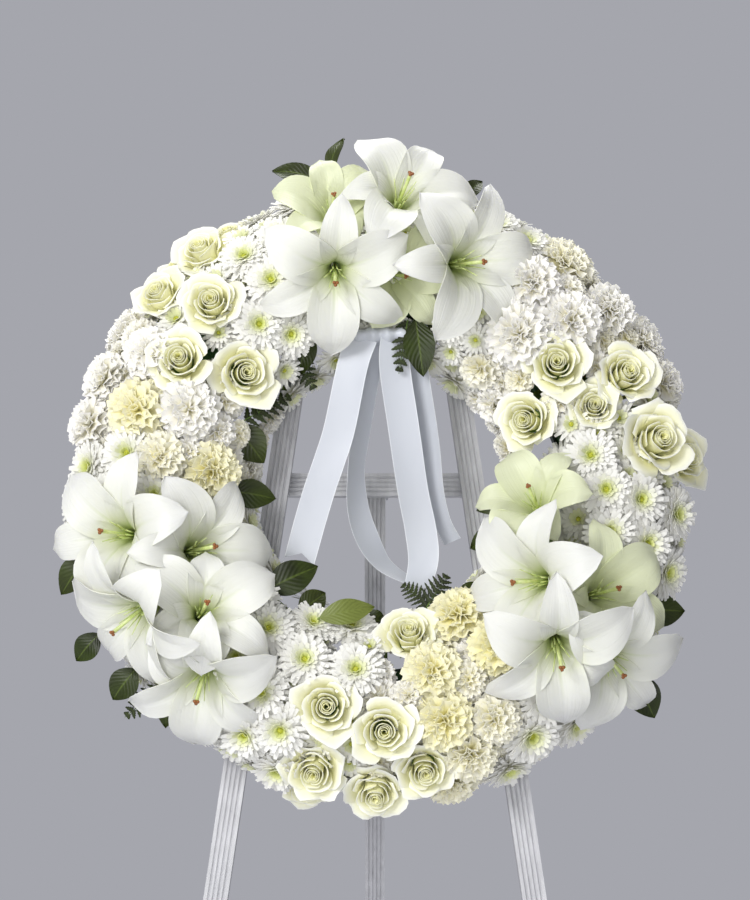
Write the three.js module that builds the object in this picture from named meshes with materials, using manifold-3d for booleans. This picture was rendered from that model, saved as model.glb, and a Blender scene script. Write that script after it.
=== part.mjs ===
// A funeral wreath that stands on a folding wooden easel.
//
// Lilies, roses, carnations, spray chrysanthemums and leafy stems are pushed into a ring of floral
// foam in a plastic tray. The tray leans on the easel's two front legs and hangs from a hook on its
// top bar by a wire loop. Four ribbon tails hang from a knot at the top of the hole.
//
// Millimetres, +Z up, the front towards -Y. Everything but the rear leg is laid out in the plane of
// the front legs: x to the right, y up along the legs, z out of the plane towards the viewer, from
// the centre of the ring at the back of its tray.

import * as THREE from "three";
import { mergeGeometries, mergeVertices } from "three/addons/utils/BufferGeometryUtils.js";
import Module from "manifold-3d";

const wasm = await Module();
wasm.setup();

const rad = THREE.MathUtils.degToRad;
const V = (x, y, z) => new THREE.Vector3(x, y, z);

// Driving dimensions.
const lean = 12; // degrees that the front legs and the wreath lean back
const gap = 0.3; // between touching pieces
const clear = 0.5; // between one flower and the next
const ring = { radius: 222, halfWidth: 92, depth: 84, middle: 24, frontDepth: 100 };
const foam = { halfWidth: 32, low: 3.2, shoulder: 32, top: 48, topHalf: 20, sides: 24 };
const tray = { halfWidth: 36, wall: 2.6, height: 17 };
const core = { foot: 20, footIn: 42, footOut: 53, topIn: 31, topOut: 39, low: 53, high: 64 };
const stemSides = 3;
const stemRadius = 3.2;
const easel = {
  offset: -7, // the easel's middle, left of the ring's
  batten: 24,
  thickness: 18,
  halfSpread: 102.7, // half the distance between the legs at the ring's centre
  flare: 0.139, // how much each leg moves out for each millimetre down
  top: 286,
  floor: -925, // the floor, measured down the legs
  crossbarHeight: 14,
  topBarHeight: 252,
  barThickness: 12,
};
const rearLeg = { tilt: 25, width: 22, thickness: 16, above: 12, standOff: 17, blank: 1300 };
const hinge = { plate: 2, margin: 8, earThickness: 2, height: 20, earPastPin: 6, sideClearance: 0.6 };
const pin = { radius: 2.5, out: 2, headRadius: 4.5, head: 1.6, sides: 8 };
const cutter = 60; // wider than any batten, for the shapes that are cut away
const flute = { count: 4, width: 2.6, depth: 1.6 };
const ribbonWidth = 32;
const ribbonThickness = 0.8;

// Colours, sRGB.
const paint = { color: "#e9eaec", roughness: 0.45, metalness: 0 };
const steel = { color: "#b9bcc0", roughness: 0.35, metalness: 1 };
const foamGreen = { color: "#3f6b3c", roughness: 0.95, metalness: 0 };
const trayGreen = { color: "#27402a", roughness: 0.5, metalness: 0 };
const satin = { color: "#eef0f6", roughness: 0.35, metalness: 0 };
const lilyWhite = { color: "#f6f7ee", roughness: 0.5, metalness: 0 };
const roseCream = { color: "#f2f2cf", roughness: 0.55, metalness: 0 };
const carnationCream = { color: "#f4f0cf", roughness: 0.7, metalness: 0 };
const mumWhite = { color: "#f3f5f1", roughness: 0.65, metalness: 0 };
const leafGreen = { color: "#24401c", roughness: 0.4, metalness: 0 };

// Places, as seen from in front of the wreath, turned into the plane of the legs.

// A point seen at (x, y) from the ring's centre, that lies z in front of the tray's back.
function seen(x, y, z) {
  const drop = (z - ring.frontDepth) * Math.sin(rad(lean));
  return V(x, (y - drop) / Math.cos(rad(lean)), z);
}

// The place on the domed surface of the flowers that is seen at (x, y), and the way it faces.
function onSurface(x, y, lift = 0, facing = 0.8) {
  let z = ring.middle + ring.depth;
  let tube = 0;
  let point = seen(x, y, z);
  for (let step = 0; step < 6; step++) {
    point = seen(x, y, z);
    const offset = Math.hypot(point.x, point.y) - ring.radius;
    tube = Math.asin(THREE.MathUtils.clamp(offset / ring.halfWidth, -1, 1));
    z = ring.middle + ring.depth * Math.cos(tube);
  }
  const outward = V(point.x, point.y, 0).normalize();
  const limited = outward.clone().multiplyScalar(ring.radius + ring.halfWidth * Math.sin(tube));
  const axis = outward.multiplyScalar(Math.sin(tube * facing)).add(V(0, 0, Math.cos(tube * facing)));
  return { point: V(limited.x, limited.y, z).addScaledVector(axis, lift), axis, tube };
}

// The clock angle of a point in degrees, clockwise from the top, 0 to 360.
const clockOf = (p) => (THREE.MathUtils.radToDeg(Math.atan2(p.x, p.y)) + 360) % 360;

// A point by its clock angle, its distance from the ring's centre line and its height.
function onRing(clock, offset, z) {
  const r = ring.radius + offset;
  return V(r * Math.sin(rad(clock)), r * Math.cos(rad(clock)), z);
}

const farFrom = (p, list, distance) => list.every((q) => q.distanceTo(p) > distance);

// The matrix that puts a bloom's +Z along axis, at a point, turned by roll about it.
function stand(point, axis, roll = 0) {
  const side = V(0, 1, 0).cross(axis).normalize();
  const up = axis.clone().cross(side);
  const basis = new THREE.Matrix4().makeBasis(side, up, axis);
  return basis.multiply(new THREE.Matrix4().makeRotationZ(rad(roll))).setPosition(point);
}

// Shapes.

function geometryFrom(points, faces) {
  const g = new THREE.BufferGeometry().setFromPoints(points);
  g.setIndex(faces.flat());
  return g;
}

// The triangles between one ring of points and the next ring up, which may have fewer or more.
function stitch(lower, upper) {
  const [n, m] = [lower.length, upper.length];
  const faces = [];
  let [i, j] = [0, 0];
  while (i < n || j < m) {
    const [a, b] = [lower[i % n], upper[j % m]];
    if (j >= m || (i < n && (i + 0.5) / n <= (j + 0.5) / m)) faces.push([a, lower[++i % n], b]);
    else faces.push([a, upper[++j % m], b]);
  }
  return faces;
}

// A closed surface through rings of points, from a lower pole to an upper pole.
function closedRows(lowPole, rows, highPole) {
  const points = [lowPole, ...rows.flat(), highPole];
  let next = 1;
  const rings = rows.map((row) => row.map(() => next++));
  const faces = stitch(rings[0], [0]).map(([a, b, c]) => [b, a, c]);
  for (let i = 0; i + 1 < rings.length; i++) faces.push(...stitch(rings[i], rings[i + 1]));
  faces.push(...stitch(rings.at(-1), [next]));
  return geometryFrom(points, faces.filter(([a, b, c]) => a !== b && b !== c && c !== a));
}

// A ring of points; radius and height are functions of the column.
function ringRow(columns, radius, height, twist = 0) {
  return Array.from({ length: columns }, (_, j) => {
    const a = ((j + twist) * 2 * Math.PI) / columns;
    return V(radius(j) * Math.cos(a), radius(j) * Math.sin(a), height(j));
  });
}

// An open sheet given thickness: both faces are split into the same triangles.
function thicken(points, faces, thickness, stayOpen = () => false) {
  const normals = points.map(() => V(0, 0, 0));
  const edges = new Map();
  for (const [a, b, c] of faces) {
    const n = points[b].clone().sub(points[a]).cross(points[c].clone().sub(points[a]));
    for (const k of [a, b, c]) normals[k].add(n);
    for (const [p, q] of [[a, b], [b, c], [c, a]]) {
      if (!edges.delete(q + " " + p)) edges.set(p + " " + q, [p, q]);
    }
  }
  const half = (sign) =>
    points.map((p, k) => p.clone().addScaledVector(normals[k].normalize(), (sign * thickness) / 2));
  const low = points.length;
  const closed = faces.flatMap(([a, b, c]) => [[a, b, c], [low + a, low + c, low + b]]);
  for (const [p, q] of edges.values()) {
    if (!stayOpen(p, q)) closed.push([p, low + p, low + q], [p, low + q, q]);
  }
  return { points: [...half(1), ...half(-1)], faces: closed };
}

const sheet = (points, faces, thickness) => {
  const both = thicken(points, faces, thickness);
  return geometryFrom(both.points, both.faces);
};

// A blade: rows of three points (left, middle, right) between a base point and a tip.
function blade(base, rows, tip, thickness) {
  const points = [base, ...rows.flat(), tip];
  const last = points.length - 1;
  const faces = [[0, 2, 1], [0, 3, 2]];
  for (let i = 0; i + 1 < rows.length; i++) {
    const k = 1 + 3 * i;
    faces.push([k, k + 1, k + 3], [k + 1, k + 4, k + 3], [k + 1, k + 5, k + 4], [k + 1, k + 2, k + 5]);
  }
  faces.push([last - 3, last - 2, last], [last - 2, last - 1, last]);
  return sheet(points, faces, thickness);
}

// A straight round rod between two points, with few sides.
function rod(from, to, radius, sides, tipRadius = radius) {
  const along = to.clone().sub(from);
  const g = new THREE.CylinderGeometry(tipRadius, radius, along.length(), sides, 1);
  g.translate(0, along.length() / 2, 0);
  g.applyQuaternion(new THREE.Quaternion().setFromUnitVectors(V(0, 1, 0), along.normalize()));
  return g.translate(from.x, from.y, from.z);
}

// A bent round wire or peg through a list of points.
function wire(points, radius, sides, steps) {
  const circle = new THREE.Shape().absarc(0, 0, radius, 0, 2 * Math.PI);
  return new THREE.ExtrudeGeometry(new THREE.Shape(circle.getPoints(sides / 2).slice(0, -1)), {
    steps,
    extrudePath: new THREE.CatmullRomCurve3(points),
    bevelEnabled: false,
  });
}

// Solids, joined and cut.

function bare(geometry) {
  const g = geometry.clone();
  g.deleteAttribute("normal");
  g.deleteAttribute("uv");
  return mergeVertices(g, 1e-4);
}

function solid(geometry) {
  const g = bare(geometry);
  return new wasm.Manifold(
    new wasm.Mesh({
      numProp: 3,
      vertProperties: new Float32Array(g.attributes.position.array),
      triVerts: new Uint32Array(g.index.array),
    }),
  );
}

// The same closed shape, with every face pushed out by a distance.
function swollen(geometry, distance) {
  const g = bare(geometry);
  const p = g.attributes.position;
  const read = (k) => V().fromBufferAttribute(p, k);
  const facing = Array.from({ length: p.count }, () => []);
  for (let f = 0; f < g.index.count; f += 3) {
    const [a, b, c] = [0, 1, 2].map((k) => g.index.getX(f + k));
    const n = read(b).sub(read(a)).cross(read(c).sub(read(a))).normalize();
    for (const k of [a, b, c]) facing[k].push(n);
  }
  facing.forEach((normals, k) => {
    const out = normals.reduce((sum, n) => sum.add(n), V(0, 0, 0)).normalize();
    const worst = () => normals.reduce((a, b) => (a.dot(out) < b.dot(out) ? a : b));
    for (let turn = 0; turn < 40; turn++) out.addScaledVector(worst(), 0.2).normalize();
    const least = worst().dot(out);
    const moved = read(k).addScaledVector(out, distance / Math.max(least, 0.3));
    p.setXYZ(k, moved.x, moved.y, moved.z);
  });
  return g;
}

function joined(geometries) {
  return wasm.Manifold.union(geometries.map(solid));
}

function largest(body) {
  return body.decompose().sort((a, b) => b.volume() - a.volume())[0];
}

function near(a, b) {
  const [p, q] = [a.boundingBox(), b.boundingBox()];
  return [0, 1, 2].every((k) => p.min[k] < q.max[k] && q.min[k] < p.max[k]);
}

const group = new THREE.Group();
const tilted = new THREE.Group();
tilted.rotation.x = Math.PI / 2 - rad(lean);
group.add(tilted);

function addMesh(parent, name, body, look) {
  const m = body.getMesh();
  const g = new THREE.BufferGeometry();
  g.setAttribute("position", new THREE.BufferAttribute(m.vertProperties, 3));
  g.setIndex(new THREE.BufferAttribute(m.triVerts, 1));
  g.computeVertexNormals();
  const mesh = new THREE.Mesh(g, new THREE.MeshStandardMaterial(look));
  mesh.name = name;
  parent.add(mesh);
}

// Flower pieces keep clear of each other: each one is cut back from those before it.
const taken = [];
function plant(name, geometries, look, keepClear = geometries.map((g) => swollen(g, clear)), more = []) {
  let body = wasm.Manifold.union([...geometries.map(solid), ...more]);
  for (const other of taken) {
    if (near(body, other)) body = body.subtract(other);
  }
  body = largest(body);
  addMesh(tilted, name, body, look);
  taken.push(joined(keepClear).add(body));
}

// Easel.

// A batten's section: flat back, and a front face with a row of flutes.
function flutedSection(width, thickness) {
  const s = new THREE.Shape();
  s.moveTo(-width / 2, -thickness);
  s.lineTo(width / 2, -thickness);
  s.lineTo(width / 2, 0);
  const pitch = width / (flute.count + 1);
  for (let k = flute.count; k >= 1; k--) {
    const middle = -width / 2 + k * pitch;
    s.lineTo(middle + flute.width / 2, 0);
    s.lineTo(middle, -flute.depth);
    s.lineTo(middle - flute.width / 2, 0);
  }
  s.lineTo(-width / 2, 0);
  return s;
}

// A fluted batten along +Y from y = 0, its fluted face at z = 0.
function batten(width, thickness, length) {
  const g = new THREE.ExtrudeGeometry(flutedSection(width, thickness), {
    depth: length,
    bevelEnabled: false,
  });
  return g.rotateX(-Math.PI / 2).rotateY(Math.PI);
}

const legX = (side, y) => easel.offset + side * (easel.halfSpread - easel.flare * y);

// The floor under the front feet, as a big block that is cut away.
const middleOfLegs = -gap - easel.thickness / 2;
const floorBlock = { width: 1200, depth: 400 };
const below = new THREE.BoxGeometry(floorBlock.width, floorBlock.depth, floorBlock.depth)
  .translate(0, -floorBlock.depth / 2, 0)
  .rotateX(rad(lean))
  .translate(0, easel.floor + middleOfLegs * Math.tan(rad(lean)), 0);

function legShape(side) {
  const footY = easel.floor - cutter;
  const foot = V(legX(side, footY), footY, -gap);
  const head = V(legX(side, easel.top), easel.top, -gap);
  const g = batten(easel.batten, easel.thickness, head.distanceTo(foot));
  return g.rotateZ(Math.atan2(foot.x - head.x, head.y - foot.y)).translate(foot.x, foot.y, foot.z);
}

const backOfLegs = -gap - easel.thickness - gap;

// A bar across the backs of the legs, fluted like them, as long as their outer edges are apart.
function bar(y) {
  const half = easel.halfSpread - easel.flare * y + easel.batten * 0.45;
  const g = batten(easel.batten, easel.barThickness, 2 * half).rotateZ(Math.PI / 2);
  return solid(g.translate(easel.offset + half, y, backOfLegs));
}

for (const [name, side] of [["front_leg_left", -1], ["front_leg_right", 1]]) {
  addMesh(tilted, name, solid(legShape(side)).subtract(solid(below)), paint);
  taken.push(solid(swollen(legShape(side), clear)));
}
addMesh(tilted, "crossbar", bar(easel.crossbarHeight), paint);
addMesh(tilted, "top_bar", bar(easel.topBarHeight), paint);

// Hinge: a bracket with two ears behind the crossbar, a pin, and the rear leg that turns on it.
const backOfBar = backOfLegs - easel.barThickness;
const pivot = V(easel.offset, easel.crossbarHeight, backOfBar - rearLeg.standOff);
const earInside = rearLeg.width / 2 + hinge.sideClearance;
const earOutside = earInside + hinge.earThickness;

function hingeBracket() {
  const plate = new THREE.BoxGeometry(2 * (earOutside + hinge.margin), hinge.height, hinge.plate);
  const parts = [plate.translate(pivot.x, pivot.y, backOfBar - gap - hinge.plate / 2)];
  for (const side of [-1, 1]) {
    const reach = rearLeg.standOff - gap + hinge.earPastPin;
    const wall = new THREE.BoxGeometry(hinge.earThickness, hinge.height, reach);
    const x = pivot.x + side * (earInside + hinge.earThickness / 2);
    parts.push(wall.translate(x, pivot.y, backOfBar - gap - reach / 2));
  }
  const bore = pinGeometry(pin.radius + gap, cutter);
  return joined(parts).subtract(solid(bore));
}

function pinGeometry(radius, length) {
  return new THREE.CylinderGeometry(radius, radius, length, pin.sides)
    .rotateZ(Math.PI / 2)
    .translate(pivot.x, pivot.y, pivot.z);
}

const pinLength = 2 * (earOutside + pin.out);
const pinHeads = [-1, 1].map((side) =>
  pinGeometry(pin.headRadius, pin.head).translate((side * (pinLength - pin.head / 2)) / 2, 0, 0),
);
addMesh(tilted, "hinge_bracket", hingeBracket(), steel);
addMesh(tilted, "hinge_pin", joined([pinGeometry(pin.radius, pinLength), ...pinHeads]), steel);

// The rear leg hangs from the pin and slopes back to the floor.
tilted.updateMatrixWorld(true);
const pivotWorld = pivot.clone().applyMatrix4(tilted.matrixWorld);
const floorWorld = V(0, easel.floor, middleOfLegs).applyMatrix4(tilted.matrixWorld).z;

function rearLegBody() {
  const g = batten(rearLeg.width, rearLeg.thickness, rearLeg.blank);
  g.translate(0, rearLeg.above - rearLeg.blank, rearLeg.thickness / 2);
  const across = (radius, sides) =>
    solid(new THREE.CylinderGeometry(radius, radius, cutter, sides).rotateZ(Math.PI / 2));
  const bore = across(pin.radius + gap, 12);
  const cap = new THREE.BoxGeometry(cutter, rearLeg.above, cutter).translate(0, rearLeg.above / 2, 0);
  const round = solid(cap).subtract(across(rearLeg.above, 16));
  const tiltBack = new THREE.Matrix4()
    .makeRotationX(Math.PI / 2 + rad(rearLeg.tilt))
    .setPosition(pivotWorld);
  const { width, depth } = floorBlock;
  const floor = new THREE.BoxGeometry(width, 2 * rearLeg.blank, depth);
  floor.translate(0, 0, floorWorld - depth / 2);
  return solid(g).subtract(bore).subtract(round).transform(tiltBack.elements).subtract(solid(floor));
}
addMesh(group, "rear_leg", rearLegBody(), paint);

// Tray, foam and the wire loop on its hook.

function latheRing(profile) {
  const points = profile.map(([offset, z]) => new THREE.Vector2(ring.radius + offset, z));
  return new THREE.LatheGeometry([...points, points[0].clone()], foam.sides).rotateX(Math.PI / 2);
}

const t = tray;
const trayShape = latheRing([
  [-t.halfWidth, 0],
  [t.halfWidth, 0],
  [t.halfWidth, t.height],
  [t.halfWidth - t.wall, t.height],
  [t.halfWidth - t.wall, t.wall],
  [-t.halfWidth + t.wall, t.wall],
  [-t.halfWidth + t.wall, t.height],
  [-t.halfWidth, t.height],
]);
addMesh(tilted, "ring_tray", solid(trayShape), trayGreen);
taken.push(solid(swollen(trayShape, clear)));

const f = foam;
const foamShape = latheRing([
  [-f.halfWidth, f.low],
  [f.halfWidth, f.low],
  [f.halfWidth, f.shoulder],
  [f.topHalf, f.top],
  [-f.topHalf, f.top],
  [-f.halfWidth, f.shoulder],
]);

const hook = { y: easel.topBarHeight, front: backOfLegs, reach: 10, rise: 13, radius: 2, sides: 6, steps: 6 };
const hookBody = solid(
  wire(
    [
      V(easel.offset, hook.y, hook.front + gap),
      V(easel.offset, hook.y, hook.front + hook.reach * 0.6),
      V(easel.offset, hook.y + 2, hook.front + hook.reach),
      V(easel.offset, hook.y + hook.rise, hook.front + hook.reach + 1),
    ],
    hook.radius,
    hook.sides,
    hook.steps,
  ),
);
addMesh(tilted, "hanging_hook", hookBody, steel);

const loop = { radius: 1.1, half: 22, low: 228, z: -gap - 1.4, sides: 6, steps: 12 };
const loopTop = hook.y + hook.radius + loop.radius + gap;
const loopZ = hook.front + hook.reach * 0.55;
addMesh(
  tilted,
  "hanging_loop",
  solid(
    wire(
      [
        V(easel.offset - loop.half, loop.low, loop.z),
        V(easel.offset - loop.half * 0.8, loop.low + 12, loop.z - 3),
        V(easel.offset - 6, loopTop - 3, loopZ),
        V(easel.offset, loopTop, loopZ),
        V(easel.offset + 6, loopTop - 3, loopZ),
        V(easel.offset + loop.half * 0.8, loop.low + 12, loop.z - 3),
        V(easel.offset + loop.half, loop.low, loop.z),
      ],
      loop.radius,
      loop.sides,
      loop.steps,
    ),
  ),
  steel,
);

// Ribbon, a knot on a pick and four tails that hang plumb.

// How far in front of the plane something hangs that hangs plumb from the knot: 75 at y = 140.
const plumbAtCentre = 45.2;
const plumb = (y, forward) => plumbAtCentre + forward + y * Math.tan(rad(lean));

// A tail: centre points as seen from in front, each with how far its face is turned, in degrees.
function tail(stations, forward, notch) {
  const points = [];
  const faces = [];
  const centres = stations.map(([x, y]) => {
    const p = seen(x, y, 60);
    return V(p.x, p.y, plumb(p.y, forward));
  });
  centres.forEach((c, i) => {
    const before = centres[Math.max(i - 1, 0)];
    const after = centres[Math.min(i + 1, centres.length - 1)];
    const along = after.clone().sub(before).normalize();
    const flat = V(-along.y, along.x, 0).normalize().negate();
    const side = flat.applyAxisAngle(along, rad(stations[i][2]));
    const end = i === centres.length - 1 ? notch : 0;
    points.push(c.clone().addScaledVector(side, -ribbonWidth / 2));
    points.push(c.clone().addScaledVector(along, -end));
    points.push(c.clone().addScaledVector(side, ribbonWidth / 2));
    if (i) {
      const k = 3 * i;
      faces.push([k - 3, k - 2, k], [k - 2, k + 1, k], [k - 2, k - 1, k + 1], [k - 1, k + 2, k + 1]);
    }
  });
  return sheet(points, faces, ribbonThickness);
}

const tails = {
  ribbon_tail_front_left: [
    [[-20, 134, 10], [-30, 106, 13], [-43, 46, 0], [-53, 15, 0], [-63, -13, 0], [-73, -45, 4], [-84, -84, 8]],
    10, 9],
  ribbon_tail_back_left: [
    [[-9, 134, -8], [-14, 106, -33], [-21, 46, -52], [-26, 7, -58], [-24, -30, -48], [-14, -60, -40],
      [2, -84, -50], [26, -99, -62]],
    -4, 0],
  ribbon_tail_front_right: [
    [[15, 134, -8], [13, 106, -12], [22, 46, -8], [31, -13, -8], [39, -52, 0], [42, -82, 14], [36, -108, 30]],
    12, 0],
  ribbon_tail_back_right: [
    [[25, 134, 8], [35, 106, 42], [43, 66, 52], [49, 27, 56], [54, -13, 58], [62, -43, 60], [72, -62, 62]],
    -6, 0],
};
for (const [name, [stations, forward, notch]] of Object.entries(tails)) {
  plant(name, [tail(stations, forward, notch)], satin);
}

// The knot's loops are gathered into one bundle, wired to a pick that stands in the foam.
const knot = { at: seen(2, 141, 79), width: 84, height: 18, depth: 32, pickRadius: 2, pickSides: 6 };
const bundle = new THREE.BoxGeometry(knot.width, knot.height, knot.depth);
const pick = rod(knot.at, onRing(0, -12, 30), knot.pickRadius, knot.pickSides);
plant("ribbon_knot", [bundle.translate(knot.at.x, knot.at.y, knot.at.z), pick], satin);

// Greenery, leafy stems with broad leaves and fern fronds.

const leafThickness = 1;
const greenStem = { radius: 2.8, side: 1.8, rootZ: 26, forkZ: 32, straight: 0.45 };

// The frame of a blade that runs from base to tip and faces the viewer.
function bladeFrame(base, tip, twist = 0) {
  const along = tip.clone().sub(base);
  const length = along.length();
  along.normalize();
  const side = along.clone().cross(V(0, 0, 1)).normalize().applyAxisAngle(along, rad(twist));
  const face = side.clone().cross(along);
  return (s, x, h) =>
    base
      .clone()
      .addScaledVector(along, s * length)
      .addScaledVector(side, -x)
      .addScaledVector(face, h);
}

// A blade grows straight from the fork of its stem, or, where that would fold it, on a stalk.
function onStalk(fork, base, tip, makeBlade) {
  const along = tip.clone().sub(base).normalize();
  const way = base.clone().sub(fork).normalize();
  if (way.dot(along) > greenStem.straight) return [makeBlade(fork)];
  return [makeBlade(base), rod(fork, base.clone().addScaledVector(along, 5), greenStem.side, stemSides)];
}

function leaf(base, tip, width, twist, start) {
  const at = bladeFrame(base, tip, twist);
  const row = (s, w, h) => [at(s, (-w * width) / 2, h + 3), at(s, 0, h), at(s, (w * width) / 2, h + 3)];
  return blade(start, [row(0.22, 0.86, 2), row(0.62, 0.9, 3)], at(1, 0, -3), leafThickness);
}

// A fern frond: one thin arched blade whose outline has leaflets cut to the rib.
function frond(base, tip, width, twist, start) {
  const pairs = 4;
  const at = bladeFrame(base, tip, twist);
  const arch = (s) => 10 * s * (1 - s);
  const points = [start];
  const faces = [];
  const spine = [0];
  const rib = 0.9;
  for (let i = 0; i < pairs; i++) {
    const s = (i + 0.2) / pairs;
    const reach = (width / 2) * Math.sin(Math.PI * Math.min(1, 0.32 + 0.62 * s)) + 1;
    const k = points.length;
    const tipS = s + 0.9 / pairs;
    const nextS = (i + 1) / pairs;
    points.push(at(tipS, -reach, arch(tipS) - 2), at(tipS, reach, arch(tipS) - 2));
    points.push(at(nextS, -rib, arch(nextS)), at(nextS, 0, arch(nextS)), at(nextS, rib, arch(nextS)));
    const [low, left, right] = i ? [spine[i], k - 3, k - 1] : [0, 0, 0];
    faces.push([low, k + 3, k + 2], [low, k + 4, k + 3]);
    faces.push([low, k + 2, k], [low, k + 1, k + 4]);
    if (i) faces.push([low, k, left], [low, right, k + 1]);
    spine.push(k + 3);
  }
  const end = points.length;
  points.push(at(1, 0, arch(1) - 1));
  faces.push([spine.at(-1), end, spine.at(-1) - 1], [spine.at(-1), spine.at(-1) + 1, end]);
  return sheet(points, faces, leafThickness);
}

// Each stem: its root's clock angle and side of the ring, then its leaves (l) and fronds (f), as
// [kind, base x, base y, tip x, tip y, width, z at the base, z at the tip, twist].
const greenery = {
  greens_top_left: [-13, 22, [
    ["l", -64, 304, -115, 320, 27, 52, 40, 20], ["l", -54, 312, -41, 354, 17, 52, 44, -30]]],
  greens_top: [9, 22, [
    ["l", 17, 305, 21, 336, 15, 50, 40, 10], ["l", 84, 286, 106, 308, 17, 46, 40, 0]]],
  greens_top_inside: [11, -22, [
    ["l", 36, 158, 40, 102, 30, 62, 52, 0], ["l", 52, 164, 66, 138, 22, 62, 58, 10],
    ["f", 26, 156, 15, 102, 26, 56, 46, 0], ["l", 66, 140, 106, 121, 13, 52, 42, 0]]],
  greens_upper_left_inside: [-31, -22, [
    ["l", -74, 148, -86, 100, 26, 60, 52, 0], ["f", -92, 128, -69, 86, 28, 50, 44, 0]]],
  greens_left_inside: [283, -22, [
    ["f", -139, 56, -92, 81, 30, 60, 52, 0], ["l", -150, 50, -120, 12, 36, 52, 44, 0],
    ["l", -156, -17, -107, -24, 30, 58, 50, 0]]],
  greens_left: [240, 22, [
    ["l", -296, -80, -326, -122, 30, 48, 36, 0], ["l", -284, -160, -309, -188, 26, 46, 36, 0],
    ["l", -246, -194, -271, -226, 30, 50, 40, 0], ["f", -222, -214, -258, -243, 28, 44, 38, 0],
    ["l", -214, -216, -217, -254, 20, 44, 38, 0]]],
  greens_bottom_left_inside: [207, -22, [
    ["l", -116, -116, -64, -91, 34, 64, 60, 0], ["l", -84, -138, -56, -118, 26, 58, 52, 10],
    ["l", -62, -139, -9, -130, 25, 76, 70, 0], ["l", -20, -144, 6, -148, 20, 60, 54, 0]]],
  greens_bottom_right_inside: [159, -22, [
    ["f", 44, -134, 66, -100, 32, 60, 56, 0], ["f", 46, -130, 20, -110, 24, 56, 52, 0],
    ["l", 74, -126, 103, -110, 20, 66, 60, 0]]],
  greens_right_inside: [98, -22, [
    ["l", 136, -25, 95, -36, 22, 66, 60, 0], ["l", 120, -59, 89, -74, 24, 58, 52, 0],
    ["l", 160, 9, 132, 17, 15, 56, 50, 0]]],
  greens_right: [127, 22, [
    ["l", 254, -137, 307, -137, 34, 54, 42, 0], ["l", 250, -200, 274, -244, 34, 50, 40, 0],
    ["l", 222, -206, 225, -235, 24, 46, 40, 0]]],
};
for (const [name, [clock, side, blades]] of Object.entries(greenery)) {
  const root = onRing(clock, side * 0.4, greenStem.rootZ);
  const fork = onRing(clock, side * 2.75, greenStem.forkZ);
  const parts = [rod(root, fork.clone().lerp(root, -0.1), greenStem.radius, stemSides)];
  for (const [kind, bx, by, tx, ty, width, bz, tz, twist] of blades) {
    const shape = kind === "l" ? leaf : frond;
    const [base, tip] = [seen(bx, by, bz), seen(tx, ty, tz)];
    parts.push(...onStalk(fork, base, tip, (start) => shape(base, tip, width, twist, start)));
  }
  plant(name, parts, leafGreen);
}

// Lilies, three sprays of five.

const lily = { thickness: 1.2, notch: 15, rim: 32, pistil: 64, stalk: 4.5, room: 36, shortened: 0.55 };

// The tip of a petal from the throat, by how wide the bloom is open.
const petalTip = (k, openness) =>
  V(44 + 36 * openness, 0, 66 - 26 * openness).applyAxisAngle(V(0, 0, 1), rad(60 * k));

// A lily on its stalk. Three broad petals and three narrow ones, each with its own part of its full
// length, join at the rim of the throat. Below it is the neck, down to the root, and inside it the
// pistil with its knob.
function lilyBloom(openness, lengths, root) {
  const o = openness;
  const points = [];
  const faces = [];
  const rim = [];
  for (let k = 0; k < 6; k++) {
    const half = k % 2 ? 12 : 18;
    const turn = (r, z, x, at = k) => V(r, x, z).applyAxisAngle(V(0, 0, 1), rad(60 * at));
    const base = turn(lily.notch + 1, lily.rim - 2, 0);
    const cut = (point) => point.lerp(base, 1 - lengths[k]);
    points.push(base.clone(), turn(lily.notch, lily.rim, 0, k + 0.5));
    points.push(cut(turn(30 + 24 * o, 58 - 6 * o, -half)), cut(turn(28 + 24 * o, 54 - 6 * o, 0)));
    points.push(cut(turn(30 + 24 * o, 58 - 6 * o, half)), cut(petalTip(k, o)));
    const [middle, right, a, b, c, tip] = [0, 1, 2, 3, 4, 5].map((i) => 6 * k + i);
    const left = 6 * ((k + 5) % 6) + 1;
    faces.push([left, a, middle], [a, b, middle], [middle, b, c], [middle, c, right]);
    faces.push([a, tip, b], [b, tip, c]);
    rim.push(middle, right);
  }
  const onRim = (k) => k % 6 < 2;
  const both = thicken(points, faces, lily.thickness, (p, q) => onRim(p) && onRim(q));
  const add = (row) => row.map((point) => both.points.push(point) - 1);
  const small = (r, z, x = 0, y = 0) =>
    add(ringRow(stemSides, () => r, () => z).map((point) => point.add(V(x, y, 0))));
  const under = [small(lily.stalk, root.z, root.x, root.y), small(4, -9), rim.map((k) => k + points.length)];
  const inside = [rim, small(5, 4), small(2, 6), small(1.6, lily.pistil - 8), small(4, lily.pistil - 3)];
  const ends = add([root.clone().add(V(0, 0, -2)), V(0, 0, lily.pistil + 2)]);
  both.faces.push(...stitch(under[0], [ends[0]]).map(([a, b, c]) => [b, a, c]));
  for (const rows of [under, inside]) {
    rows.slice(1).forEach((row, i) => both.faces.push(...stitch(rows[i], row)));
  }
  both.faces.push(...stitch(inside.at(-1), [ends[1]]));
  return geometryFrom(both.points, both.faces.filter(([a, b, c]) => a !== b && b !== c && c !== a));
}

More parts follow.
